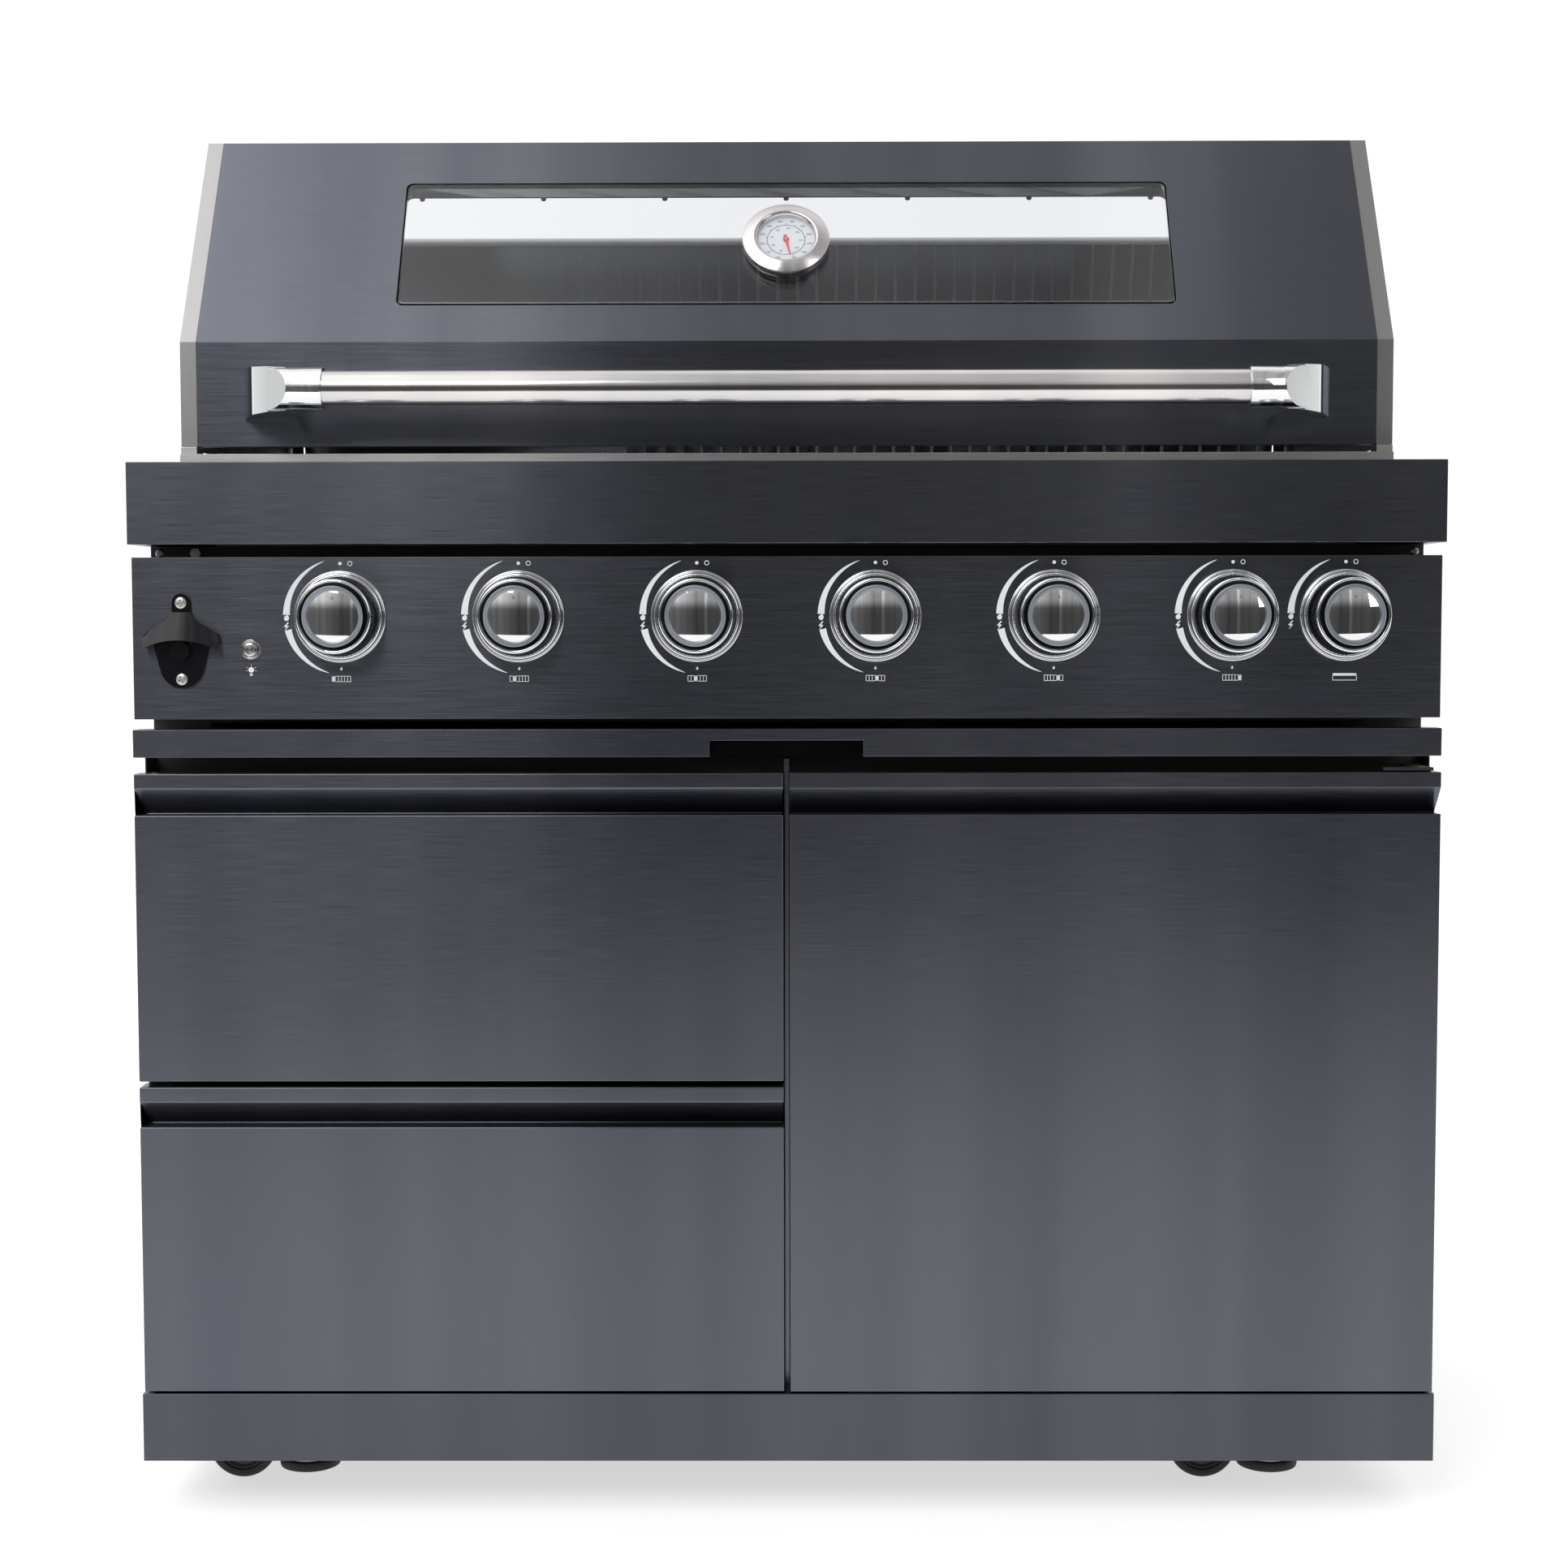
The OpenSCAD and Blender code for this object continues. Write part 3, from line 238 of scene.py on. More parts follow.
BLACK = (0.125, 0.131, 0.152)
M = {
    "black": brushed("black_stainless", BLACK, 0.21, 0.97),
    # The kick plate's copy of the black steel, darkened to 0.76: painted shade
    "black_painted_shade": brushed("black_stainless_painted_shade_kick", shade(BLACK, 0.76), 0.21, 0.97),
    "black_side": brushed("black_stainless_side", BLACK, 0.21, 0.97, (2300, 22, 2300)),
    "bright": brushed("brushed_stainless", (0.62, 0.60, 0.585), 0.3, 0.7),
    # A darker copy of the brushed stainless for the sideways hood end caps: painted shade
    "bright_shaded_side": brushed("brushed_stainless_painted_shade_side", (0.36, 0.355, 0.35), 0.3, 0.7, (2300, 22, 2300)),
    "frame": brushed("satin_frame", (0.2, 0.212, 0.22), 0.24, 0.6),
    "tube": brushed("satin_tube", (0.66, 0.64, 0.63), 0.13, 0.2, (20, 2200, 2200), 0.000004, 0.05),
    "spun": brushed("spun_stainless", (0.66, 0.63, 0.64), 0.22, 0.8, (500, 500, 500), 0.000006, 0.05, "Y"),
    "chrome": plain("chrome_plate", (0.78, 0.79, 0.80), 0.045, 1.0, vary=0.02),
    "mirror": plain("mirror_cap", (0.72, 0.72, 0.72), 0.035, 1.0, vary=0.02),
    "satin": plain("satin_ring", (0.36, 0.39, 0.43), 0.38, 0.85),
    "zinc": plain("galvanised_sheet", (0.42, 0.43, 0.44), 0.45, 0.9, 160.0, 0.00004, 0.14),
    "paint": plain("satin_black_powder_coat", (0.018, 0.018, 0.02), 0.45, 0.0, 1400.0, 0.00003),
    "chassis": plain("dark_chassis_paint", (0.04, 0.04, 0.043), 0.4, 0.0, 1400.0, 0.00003),
    # Near-black sheet behind the drip tray's finger notch: painted shadow
    "shadow_sheet": plain("notch_painted_shadow_black", (0.004, 0.004, 0.004), 0.85, Specular_IOR_Level=0.1),
    "gloss": plain("gloss_black_enamel", (0.006, 0.006, 0.008), 0.1, 0.0, 260.0, 0.00001,
                   Specular_IOR_Level=0.35),
    "iron": plain("enamelled_cast_iron", (0.035, 0.034, 0.034), 0.42, 0.15, 700.0, 0.00018),
    "rubber": plain("black_rubber", (0.011, 0.011, 0.012), 0.55, 0.0, 900.0, 0.00004),
    "brass": plain("machined_brass", (0.62, 0.44, 0.2), 0.3, 1.0),
    "print": plain("white_print", (0.78, 0.80, 0.83), 0.5),
    "ink": plain("dial_ink", (0.03, 0.03, 0.035), 0.5),
    "dial": plain("dial_face", (0.82, 0.86, 0.90), 0.42),
    "red": plain("red_needle", (0.85, 0.03, 0.09), 0.4),
}


def glass_material(name, colour):
    mat, tree, shader = new_material(name, Roughness=0.0, IOR=1.45, Transmission_Weight=1.0)
    tree.links.new(ramp(tree, noise(tree, 3.0), colour, shade(colour, 1.01)), shader.inputs["Base Color"])
    return mat


def rear_wall_material():
    """Polished wall with painted reflections of the grate bars as faint upright streaks, and a duller,
    lighter fold.
    """
    mat = brushed("polished_rear_wall", (0.5, 0.515, 0.53), 0.17, 0.55, (14, 1600, 1600), 0.000004, 0.06)
    tree = mat.node_tree
    shader = tree.nodes["Principled BSDF"]
    coords = tree.nodes.new("ShaderNodeTexCoord")
    place_at = tree.nodes.new("ShaderNodeSeparateXYZ")
    tree.links.new(coords.outputs["Object"], place_at.inputs[0])
    wave = add_node(tree, "ShaderNodeTexWave", Scale=BAR_REFLECTION_SCALE, Distortion=0.5, Detail=1.0,
                    wave_type="BANDS", bands_direction="X")
    tree.links.new(coords.outputs["Object"], wave.inputs["Vector"])
    geometry = tree.nodes.new("ShaderNodeNewGeometry")
    facing = tree.nodes.new("ShaderNodeSeparateXYZ")
    tree.links.new(geometry.outputs["True Normal"], facing.inputs[0])
    front = spread(tree, facing.outputs["Y"], 1.0, 0.0, (-0.6, -0.3))
    side = spread(tree, place_at.outputs["X"], 0.0, 0.9, BAR_REFLECTION_X)
    # Painted reflection of the grate bars: upright bands on the front face, lighter and less metallic, fading
    # in from the left
    streak = spread(tree, wave.outputs["Fac"], 0.0, 1.0, (0.86, 1.0))
    streak = combine(tree, "MULTIPLY", combine(tree, "MULTIPLY", streak, side), front)
    fold = spread(tree, place_at.outputs["Z"], 0.0, 1.0, FOLD_BAND_Z)
    wall_colour = shader.inputs["Base Color"].links[0].from_socket
    wall_colour = blend_colour(tree, front, wall_colour, (0.72, 0.8, 0.9, 1))
    wall_colour = blend_colour(tree, streak, wall_colour, (0.95, 0.96, 0.98, 1))
    wall_colour = blend_colour(tree, fold, wall_colour, (0.96, 0.97, 0.98, 1))
    tree.links.new(wall_colour, shader.inputs["Base Color"])
    duller = combine(tree, "MAXIMUM", fold, streak)
    tree.links.new(spread(tree, duller, 1.0, 0.05, (0.0, 1.0)), shader.inputs["Metallic"])
    return mat


M["rear"] = rear_wall_material()
M["glass"] = glass_material("clear_toughened_glass", (0.803, 0.812, 0.834))
M["lens"] = plain("dial_lens", (0.6, 0.63, 0.66), 0.03, Alpha=0.07)

# ---------- mesh helpers ----------


def settle(obj):
    """Applies the object's modifiers to its mesh."""
    depsgraph = bpy.context.evaluated_depsgraph_get()
    mesh = bpy.data.meshes.new_from_object(obj.evaluated_get(depsgraph))
    obj.modifiers.clear()
    obj.data = mesh
    return obj


def place(name, bm, material, body, slot, nodes=(), bevel=0.0, segments=2, angle=30, smooth=40):
    """Turns a bmesh into a finished, bevelled piece that rides on a body."""
    mesh = bpy.data.meshes.new(name)
    bmesh.ops.recalc_face_normals(bm, faces=bm.faces)
    bm.to_mesh(mesh)
    bm.free()
    obj = bpy.data.objects.new(name, mesh)
    bpy.context.scene.collection.objects.link(obj)
    if bevel:
        mod = obj.modifiers.new("edge", "BEVEL")
        mod.width = bevel
        mod.segments = segments
        mod.limit_method = "ANGLE"
        mod.angle_limit = math.radians(angle)
        mod.harden_normals = False
        settle(obj)
    obj.data.polygons.foreach_set("use_smooth", [True] * len(obj.data.polygons))
    obj.data.set_sharp_from_angle(angle=math.radians(smooth))
    if bevel:
        mod = obj.modifiers.new("flat", "WEIGHTED_NORMAL")
        mod.keep_sharp = True
        mod.weight = 100
        settle(obj)
    obj.data.materials.clear()
    obj.data.materials.append(material)
    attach(obj, body)
    if nodes:
        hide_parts(*nodes)
    return obj


def islands(bm):
    """The mesh's connected parts, as lists of vertices."""
    left, found = set(bm.verts), []
    while left:
        stack, part = [left.pop()], []
        while stack:
            vert = stack.pop()
            part.append(vert)
            for edge in vert.link_edges:
                other = edge.other_vert(vert)
                if other in left:
                    left.remove(other)
                    stack.append(other)
        found.append(part)
    return found


def inside(part, other):
    lows = [[min(v.co[k] for v in p) for k in range(3)] for p in (part, other)]
    highs = [[max(v.co[k] for v in p) for k in range(3)] for p in (part, other)]
    return all(lows[0][k] > lows[1][k] + 1e-6 and highs[0][k] < highs[1][k] - 1e-6 for k in range(3))


def cad_copy(node):
    """A copy of a CAD node's mesh with doubled points joined and flat triangles merged."""
    bm = bmesh.new()
    bm.from_mesh(frame["nodes"][node].data)
    bmesh.ops.remove_doubles(bm, verts=bm.verts, dist=2e-6)
    bmesh.ops.dissolve_limit(bm, angle_limit=math.radians(0.6), verts=bm.verts, edges=bm.edges)
    return bm


def skin(node, material, slot, bevel=0.0006, segments=2, closed=False, smooth=40):
    """A bevelled copy of a CAD node in its own place; closed drops sealed inner walls."""
    bm = cad_copy(node)
    if closed:
        parts = islands(bm)
        hidden = [v for p in parts for v in p if any(inside(p, q) for q in parts if q is not p)]
        bmesh.ops.delete(bm, geom=hidden, context="VERTS")
    body = frame["nodes"][node]["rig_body"]
    return place(node + "_skin", bm, material, body, slot, [node], bevel, segments, 30, smooth)


def lathe(bm, profile, frame_matrix, steps=96):
    """Adds a turned shape; profile holds (radius, height) pairs from the outside in or out."""
    rings = []
    for radius, height in profile:
        if radius < 1e-7:
            rings.append([bm.verts.new(frame_matrix @ Vector((0, 0, height)))])
        else:
            turn = [2 * math.pi * k / steps for k in range(steps)]
            ring = [Vector((radius * math.cos(a), radius * math.sin(a), height)) for a in turn]
            rings.append([bm.verts.new(frame_matrix @ corner) for corner in ring])
    for low, high in zip(rings, rings[1:]):
        for k in range(steps):
            n = (k + 1) % steps
            corners = [low[k % len(low)], low[n % len(low)], high[n % len(high)], high[k % len(high)]]
            unique = list(dict.fromkeys(corners))
            if len(unique) > 2:
                bm.faces.new(unique)
    return rings


def arc(cx, cz, r, a0, a1, count=8):
    """Points of an arc, in (radius, height), from angle a0 to a1 in degrees."""
    return [(cx + r * math.cos(math.radians(a0 + (a1 - a0) * k / count)),
             cz + r * math.sin(math.radians(a0 + (a1 - a0) * k / count))) for k in range(count + 1)]


def scaled(points, factor=MM):
    return [tuple(c * factor for c in p) for p in points]


def prism(bm, outline, matrix, low, high):
    """Adds a straight-sided solid over an outline of (x, y) pairs."""
    sides = [[bm.verts.new(matrix @ Vector((x, y, z))) for x, y in outline] for z in (low, high)]
    bm.faces.new(list(reversed(sides[0])))
    bm.faces.new(sides[1])
    count = len(outline)
    for k in range(count):
        n = (k + 1) % count
        bm.faces.new([sides[0][k], sides[0][n], sides[1][n], sides[1][k]])


def ring_prism(bm, outer, inner, matrix, low, high):
    """Adds a flat ring between two outlines with the same number of points."""
    loops = [[bm.verts.new(matrix @ Vector((x, y, z))) for x, y in line]
             for line, z in ((outer, low), (outer, high), (inner, high), (inner, low))]
    count = len(outer)
    for a, b in zip(loops, loops[1:] + loops[:1]):
        for k in range(count):
            n = (k + 1) % count
            bm.faces.new([a[k], a[n], b[n], b[k]])


def flat_box(bm, lo, hi, matrix=Matrix.Identity(4)):
    prism(bm, [(lo[0], lo[1]), (hi[0], lo[1]), (hi[0], hi[1]), (lo[0], hi[1])], matrix, lo[2], hi[2])


def circle_points(r, count, centre=(0, 0), start=0.0, end=360.0, closed=True):
    span = count if closed else count - 1
    turn = [math.radians(start + (end - start) * k / span) for k in range(count)]
    return [(centre[0] + r * math.cos(a), centre[1] + r * math.sin(a)) for a in turn]


def panel_frame(x, z, y):
    """Local frame whose Z points out of the front, X to the right, Y up."""
    return Matrix.Translation((x, y, z)) @ Matrix.Rotation(math.radians(90), 4, "X")


# ---------- places taken from the frame ----------

PANEL_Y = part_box("control_panel")[0].y
KNOB_XS = []
for index in range(1, 8):
    lo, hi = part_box(f"knob_{index}")
    KNOB_XS.append((lo.x + hi.x) / 2)
stem_lo, stem_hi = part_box("valve_stem_1")
KNOB_Z = (stem_lo.z + stem_hi.z) / 2
PANEL_AHEAD = PANEL_Y - 0.0024

# ---------- sheet-metal pieces that keep their CAD shape ----------


def dress(node, material):
    """Gives a CAD node that stays a procedural material."""
    mesh = frame["nodes"][node].data
    mesh.materials.clear()
    mesh.materials.append(M[material])


def sheet_metal():
    closed = ("upper_drawer_front", "lower_drawer_front", "door_panel")
    for node in closed:
        skin(node, M["black"], "black_steel", 0.0011, 3, closed=True)
    for node in ("bench_top_frame", "control_panel"):
        skin(node, M["black"], "black_steel", 0.0009, 3)
    # The kick plate gets the darker copy of the black steel: painted shade
    skin("kick_plate", M["black_painted_shade"], "black_steel", 0.0009, 3)
    skin("drip_tray", M["black"], "black_steel", 0.0007, 2, closed=True)
    skin("hood_shell", M["black"], "black_steel", 0.0006, 2)
    # The end caps take the darker, painted-shade copy of the brushed stainless
    skin("hood_end_caps", M["bright_shaded_side"], "bright_steel", 0.0007, 2)
    skin("cabinet_sides", M["black_side"], "black_steel", 0.0006, 2)
    skin("center_divider", M["black"], "black_steel", 0.0006, 2)
    skin("firebox", M["bright"], "bright_steel", 0.0006, 2)
    rear_wall_piece()
    skin("back_burner", M["bright"], "bright_steel", 0.0006, 2)
    skin("head_chassis", M["chassis"], "dark_paint", 0.0006, 2)
    skin("cabinet_floor", M["paint"], "dark_paint", 0.0006, 2)
    skin("window_frame", M["frame"], "dark_paint", 0.0005, 2)
    skin("cabinet_back", M["zinc"], "galvanised", 0.0005, 2)
    skin("upper_drawer_box", M["zinc"], "galvanised", 0.0005, 2)
    skin("lower_drawer_box", M["zinc"], "galvanised", 0.0005, 2)
    skin("drawer_rails", M["zinc"], "galvanised", 0.0004, 2)
    skin("hotplate", M["iron"], "cast_iron", 0.0015, 2)
    skin("cooking_grates", M["iron"], "cast_iron", 0.0012, 2)
    skin("flame_tamers", M["bright"], "bright_steel", 0.0005, 2)
    skin("main_burners", M["bright"], "bright_steel", 0.0005, 2)
    skin("gas_valves", M["brass"], "brass", 0.0006, 2)
    skin("hinge_pins", M["paint"], "bright_steel", 0.0006, 2)
    skin("window_glass", M["glass"], "glass", 0.0008, 2)
    dress("gas_manifold", "bright")
    for k in range(1, 8):
        dress(f"valve_stem_{k}", "brass")


def rear_wall_piece():
    """The polished rear wall, with the fold along its top flange rolled over."""
    bm = cad_copy("rear_wall")
    for inset, radius in ((0.0, WALL_ROLL), (WALL_SHEET, WALL_ROLL - WALL_SHEET)):
        fold_y, fold_z = WALL_FOLD_Y + inset, WALL_FOLD_Z - inset
        fold = [e for e in bm.edges
                if all(abs(v.co.y - fold_y) < 2e-4 and abs(v.co.z - fold_z) < 2e-4 for v in e.verts)]
        bmesh.ops.bevel(bm, geom=fold, offset=radius, segments=8, profile=0.5, affect="EDGES")
    place("rear_wall_skin", bm, M["rear"], "root", "bright_steel", ["rear_wall"], smooth=30)


def tray_liner():
    """A near-black sheet behind the finger notch of the drip tray's front: painted shadow where the notch is
    in shade.
    """
    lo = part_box("drip_tray")[0]
    back = lo.y + FRONT_T - 0.0014
    bm = bmesh.new()
    flat_box(bm, (-NOTCH_HALF_W, back - 0.0004, lo.z + 0.0002), (NOTCH_HALF_W, back, lo.z + NOTCH_H))
    place("drip_tray_notch_shadow", bm, M["shadow_sheet"], "drip_tray", "black_steel", bevel=0.0001, segments=1)


# ---------- knobs, bezels and their printed marks ----------


def knob_piece(index, x, z):
    bm = bmesh.new()
    at = panel_frame(x, z, PANEL_Y)
    teeth, low, high, inner, outer = 60, 5.5, 31.0, 29.6, 31.0
    width = 2 * math.pi / teeth * 0.29
    for k in range(teeth):
        a = 2 * math.pi * k / teeth
        corners = ((inner, a - width * 1.25), (outer, a - width * 0.7),
                   (outer, a + width * 0.7), (inner, a + width * 1.25))
        outline = [(r * MM * math.cos(b), r * MM * math.sin(b)) for r, b in corners]
        prism(bm, outline, at, (low + 1) * MM, high * MM)
    body = [(11, low), (28.5, low), (29.9, low + 0.6), (29.9, 31.2)] + arc(30.0, 33.9, 1.9, -60, 150, 14)
    body += [(28.35, 34.0), (28.3, 33.0), (25.5, 33.0)]
    lathe(bm, scaled([(0, low + 3), (11, low + 3)] + body), at, 120)
    place(f"knob_{index}_grip", bm, M["chrome"], f"knob_{index}", "chrome", [f"knob_{index}"], smooth=35)
    bm = bmesh.new()
    groove = [(28.25, 33.1), (28.2, 33.6), (26.4, 33.8), (26.05, 34.4),
              (26.0, 39.2), (25.5, 39.3), (25.5, 33.1), (28.25, 33.1)]
    lathe(bm, scaled(groove), at, 96)
    place(f"knob_{index}_groove", bm, M["gloss"], f"knob_{index}", "gloss_black", smooth=30)
    bm = bmesh.new()
    face_ring = [(25.9, 36.6), (25.9, 39.4), (25.8, 40.0), (25.4, 40.35),
                 (22.6, 40.35), (22.2, 40.1), (22.2, 37.9)]
    lathe(bm, scaled(face_ring), at, 120)
    place(f"knob_{index}_face_ring", bm, M["satin"], f"knob_{index}", "chrome", smooth=30)
    bm = bmesh.new()
    dome = [(22.2 * k / 12, 40.6 - 2.4 * (k / 12) ** 2) for k in range(12, 0, -1)]
    lathe(bm, scaled([(22.2, 37.6)] + dome + [(0, 40.6)]), at, 120)
    place(f"knob_{index}_mirror", bm, M["mirror"], f"knob_{index}", "chrome", smooth=60)
    bm = bmesh.new()
    mark = [(-1.9 * MM, 14.2 * MM), (1.9 * MM, 14.2 * MM), (0, 17.6 * MM)]
    prism(bm, mark, at, 38.6 * MM, 39.66 * MM)
    place(f"knob_{index}_pointer", bm, M["satin"], f"knob_{index}", "chrome", bevel=0.00015, segments=1)


def bezel_pieces():
    bm = bmesh.new()
    rim = [(33.6, 0.1), (39.2, 0.1), (39.4, 0.5), (39.4, 2.8)] + arc(38.2, 3.0, 1.2, 10, 80, 6)
    rim += [(37.4, 3.9), (36.9, 3.7), (36.6, 4.3)] + arc(35.2, 6.6, 1.35, -30, 95, 8)
    rim += [(34.0, 7.8), (33.6, 7.2), (33.6, 0.1)]
    for x in KNOB_XS:
        lathe(bm, scaled(rim), panel_frame(x, KNOB_Z, PANEL_Y), 120)
    lo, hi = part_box("light_button")
    centre = ((lo.x + hi.x) / 2, (lo.z + hi.z) / 2)
    ring = [(6.35, 0.1), (8.8, 0.1), (9.0, 0.4), (8.9, 1.3), (8.2, 2.3),
            (7.4, 2.5), (6.6, 2.2), (6.35, 1.6), (6.35, 0.1)]
    lathe(bm, scaled(ring), panel_frame(*centre, PANEL_Y), 64)
    place("control_bezels_turned", bm, M["chrome"], "root", "bright_steel", ["control_bezels"], smooth=35)
    bm = bmesh.new()
    cap = [(0, -16), (6, -16), (6, -6.2), (8, -6.2), (8, -4), (6, -4), (6, 3.6),
           (5.6, 4.4), (4.4, 4.7), (4.1, 4.3), (3.8, 4.3), (3.4, 4.75), (0, 4.9)]
    lathe(bm, scaled(cap), panel_frame(*centre, PANEL_Y), 64)
    place("light_button_turned", bm, M["spun"], "light_button", "chrome", ["light_button"], smooth=35)
    return centre


def crescent(bm, at, start, end, reach, thick, lift, steps=28):
    """A printed mark that tapers from full width at start to a point at end."""
    rows = []
    for k in range(steps + 1):
        t = k / steps
        a = math.radians(start + (end - start) * t)
        width = thick * (1 - t) ** 0.75 + 0.00012
        rows.append([at @ Vector((r * math.cos(a), r * math.sin(a), h)) for h in (lift, 0.00012)
                     for r in (reach - width, reach)])
    grid = [[bm.verts.new(c) for c in row] for row in rows]
    for a, b in zip(grid, grid[1:]):
        for i, j in ((0, 1), (1, 3), (3, 2), (2, 0)):
            bm.faces.new([a[i], a[j], b[j], b[i]])
    for row in (grid[0], grid[-1]):
        bm.faces.new([row[0], row[1], row[3], row[2]])


def flame(scale, x, y):
    """A plain flame outline, used for the high and low marks."""
    shape = [(0, 3.4), (0.9, 2.1), (1.7, 1.0), (2.1, -0.2), (1.9, -1.5), (1.1, -2.5), (0, -2.9), (-1.1, -2.5),
             (-1.9, -1.5), (-2.0, -0.3), (-1.4, 0.6), (-1.0, 1.3), (-0.6, 0.7), (-0.2, 1.9)]
    return [((x + px * scale) * MM, (y + py * scale) * MM) for px, py in shape]


def printed_marks(button):
    lift, top = -0.0002, 0.00012
    reach, thick, above = 0.0495, 0.0058, 0.0455
    bm = bmesh.new()
    for index, x in enumerate(KNOB_XS, 1):
        at = panel_frame(x, KNOB_Z, PANEL_Y)
        crescent(bm, at, 178, 106, reach, thick, lift)
        if index < 7:
            crescent(bm, at, 194, 258, reach, thick, lift)
        bolt = [(-45.6, -4.6), (-48.9, -8.6), (-46.7, -8.9), (-48.3, -12.4),
                (-44.6, -7.9), (-46.5, -7.5), (-44.5, -4.9)]
        prism(bm, scaled(bolt), at, lift, top)
        prism(bm, flame(1.05, -46.6, -0.6), at, lift, top)
        prism(bm, circle_points(0.0015, 20, (0.0, above)), at, lift, top)
        spark = (0.0085, above)
        ring_prism(bm, circle_points(0.0021, 24, spark), circle_points(0.0015, 24, spark), at, lift, top)
        if index < 7:
            prism(bm, flame(0.5, 0, -44.6), at, lift, top)
            burner_icon(bm, at, index, lift, top)
        else:
            back_icon(bm, at, lift, top)
    at = panel_frame(*button, PANEL_Y)
    prism(bm, circle_points(0.0024, 24, (0, -LAMP_DROP), -60, 240, closed=False), at, lift, top)
    for k in range(2):
        flat_box(bm, (-0.0012, -0.0213 - k * 0.0012, lift), (0.0012, -0.0205 - k * 0.0012, top), at)
    for a in (30, 90, 150, -10, 190):
        c, s = math.cos(math.radians(a)), math.sin(math.radians(a))
        corners = ((0.0034, -0.0002), (0.0046, -0.0002), (0.0046, 0.0002), (0.0034, 0.0002))
        prism(bm, [(r * c - w * s, -LAMP_DROP + r * s + w * c) for r, w in corners], at, lift, top)
    place("panel_marks", bm, M["print"], "root", "black_steel", smooth=20)


def burner_icon(bm, at, lit, lift, top):
    """Six cells in a row with the knob's own burner filled in."""
    cell, height, line, base = 0.00265, 0.0052, 0.00045, -0.0560
    left = -3 * cell
    for k in range(7):
        x = left + k * cell
        flat_box(bm, (x - line / 2, base, lift), (x + line / 2, base + height, top), at)
    for y in (base, base + height - line):
        flat_box(bm, (left, y, lift), (-left, y + line, top), at)
    x = left + (lit - 1) * cell
    flat_box(bm, (x, base, lift), (x + cell, base + height, top), at)


def back_icon(bm, at, lift, top):
    """An open box with its back edge filled in, for the rear burner."""
    w, h, base, line = 0.0105, 0.0062, -0.0560, 0.0005
    bottom, left = ((-w, base), (w, base + line)), ((-w, base), (-w + line, base + h))
    right, lit = ((w - line, base), (w, base + h)), ((-w, base + h - 0.0022), (w, base + h))
    for lo, hi in (bottom, left, right, lit):
        flat_box(bm, (*lo, lift), (*hi, top), at)


# ---------- screws ----------


def cross_head(bm, at, radius, height, turn=0.0):
    """A domed screw head with a cross recess."""
    arm, reach = radius * 0.16, radius * 0.58
    cross = [(arm, arm), (arm, reach), (-arm, reach), (-arm, arm), (-reach, arm), (-reach, -arm),
             (-arm, -arm), (-arm, -reach), (arm, -reach), (arm, -arm), (reach, -arm), (reach, arm)]
    c, s = math.cos(turn), math.sin(turn)
    cross = [(x * c - y * s, x * s + y * c) for x, y in cross]
    floor = [bm.verts.new(at @ Vector((x, y, height * 0.35))) for x, y in cross]
    lip = [bm.verts.new(at @ Vector((x, y, height * 0.98))) for x, y in cross]
    bm.faces.new(floor)
    for k in range(12):
        bm.faces.new([floor[k], floor[(k + 1) % 12], lip[(k + 1) % 12], lip[k]])
    angles = [math.atan2(y, x) for x, y in cross]
    turns = []
    for k in range(12):
        gap = (angles[(k + 1) % 12] - angles[k]) % (2 * math.pi)
        turns += [angles[k], angles[k] + gap / 2]
    rings = []
    for r, h in ((0.72, 0.93), (0.9, 0.72), (1.0, 0.3), (1.0, 0.0)):
        ring = [Vector((radius * r * math.cos(a), radius * r * math.sin(a), height * h)) for a in turns]
        rings.append([bm.verts.new(at @ corner) for corner in ring])
    for k in range(12):
        outside = [rings[0][(2 * k + step) % 24] for step in range(3)]
        bm.faces.new([lip[k], *outside, lip[(k + 1) % 12]])
    for a, b in zip(rings, rings[1:]):
        for k in range(24):
            bm.faces.new([a[k], b[k], b[(k + 1) % 24], a[(k + 1) % 24]])
    bm.faces.new(rings[-1])


def screw_pieces():
    """Caster studs from the CAD, and screw heads with cross recesses in place of its plain ones."""
    bm = cad_copy("fasteners")
    small = [v for part in islands(bm) for v in part if max(u.co.z for u in part) > SCREWS_ABOVE]
    bmesh.ops.delete(bm, geom=small, context="VERTS")
    place("caster_studs", bm, M["bright"], "root", "bright_steel", ["fasteners"], 0.0004)
    opener_lo, opener_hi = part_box("bottle_opener")
    x = (opener_lo.x + opener_hi.x) / 2
    bm = bmesh.new()
    for z, turn in ((opener_lo.z + OPENER_SCREW_LOW, 0.5), (opener_hi.z - OPENER_SCREW_HIGH, 0.2)):
        at = panel_frame(x, z, PANEL_AHEAD)
        cross_head(bm, at, 0.0053, 0.0022, turn)
        lathe(bm, scaled([(0, -2), (2.65, -2), (2.65, 0), (0, 0)]), at, 24)
    for side, turn in ((-1, 0.9), (1, 0.3)):
        at = panel_frame(side * CHASSIS_SCREW_X, CHASSIS_SCREW_Z, CHASSIS_FACE_Y)
        cross_head(bm, at, 0.004, 0.002, turn)
    place("cross_head_screws", bm, M["bright"], "root", "bright_steel", smooth=30)
    bm = bmesh.new()
    prism(bm, circle_points(0.0052, 6), panel_frame(HEX_BOLT_X, CHASSIS_SCREW_Z, CHASSIS_FACE_Y), 0, 0.003)
    place("hex_bolt_head", bm, M["bright"], "root", "bright_steel", bevel=0.0004)


# ---------- hood furniture ----------

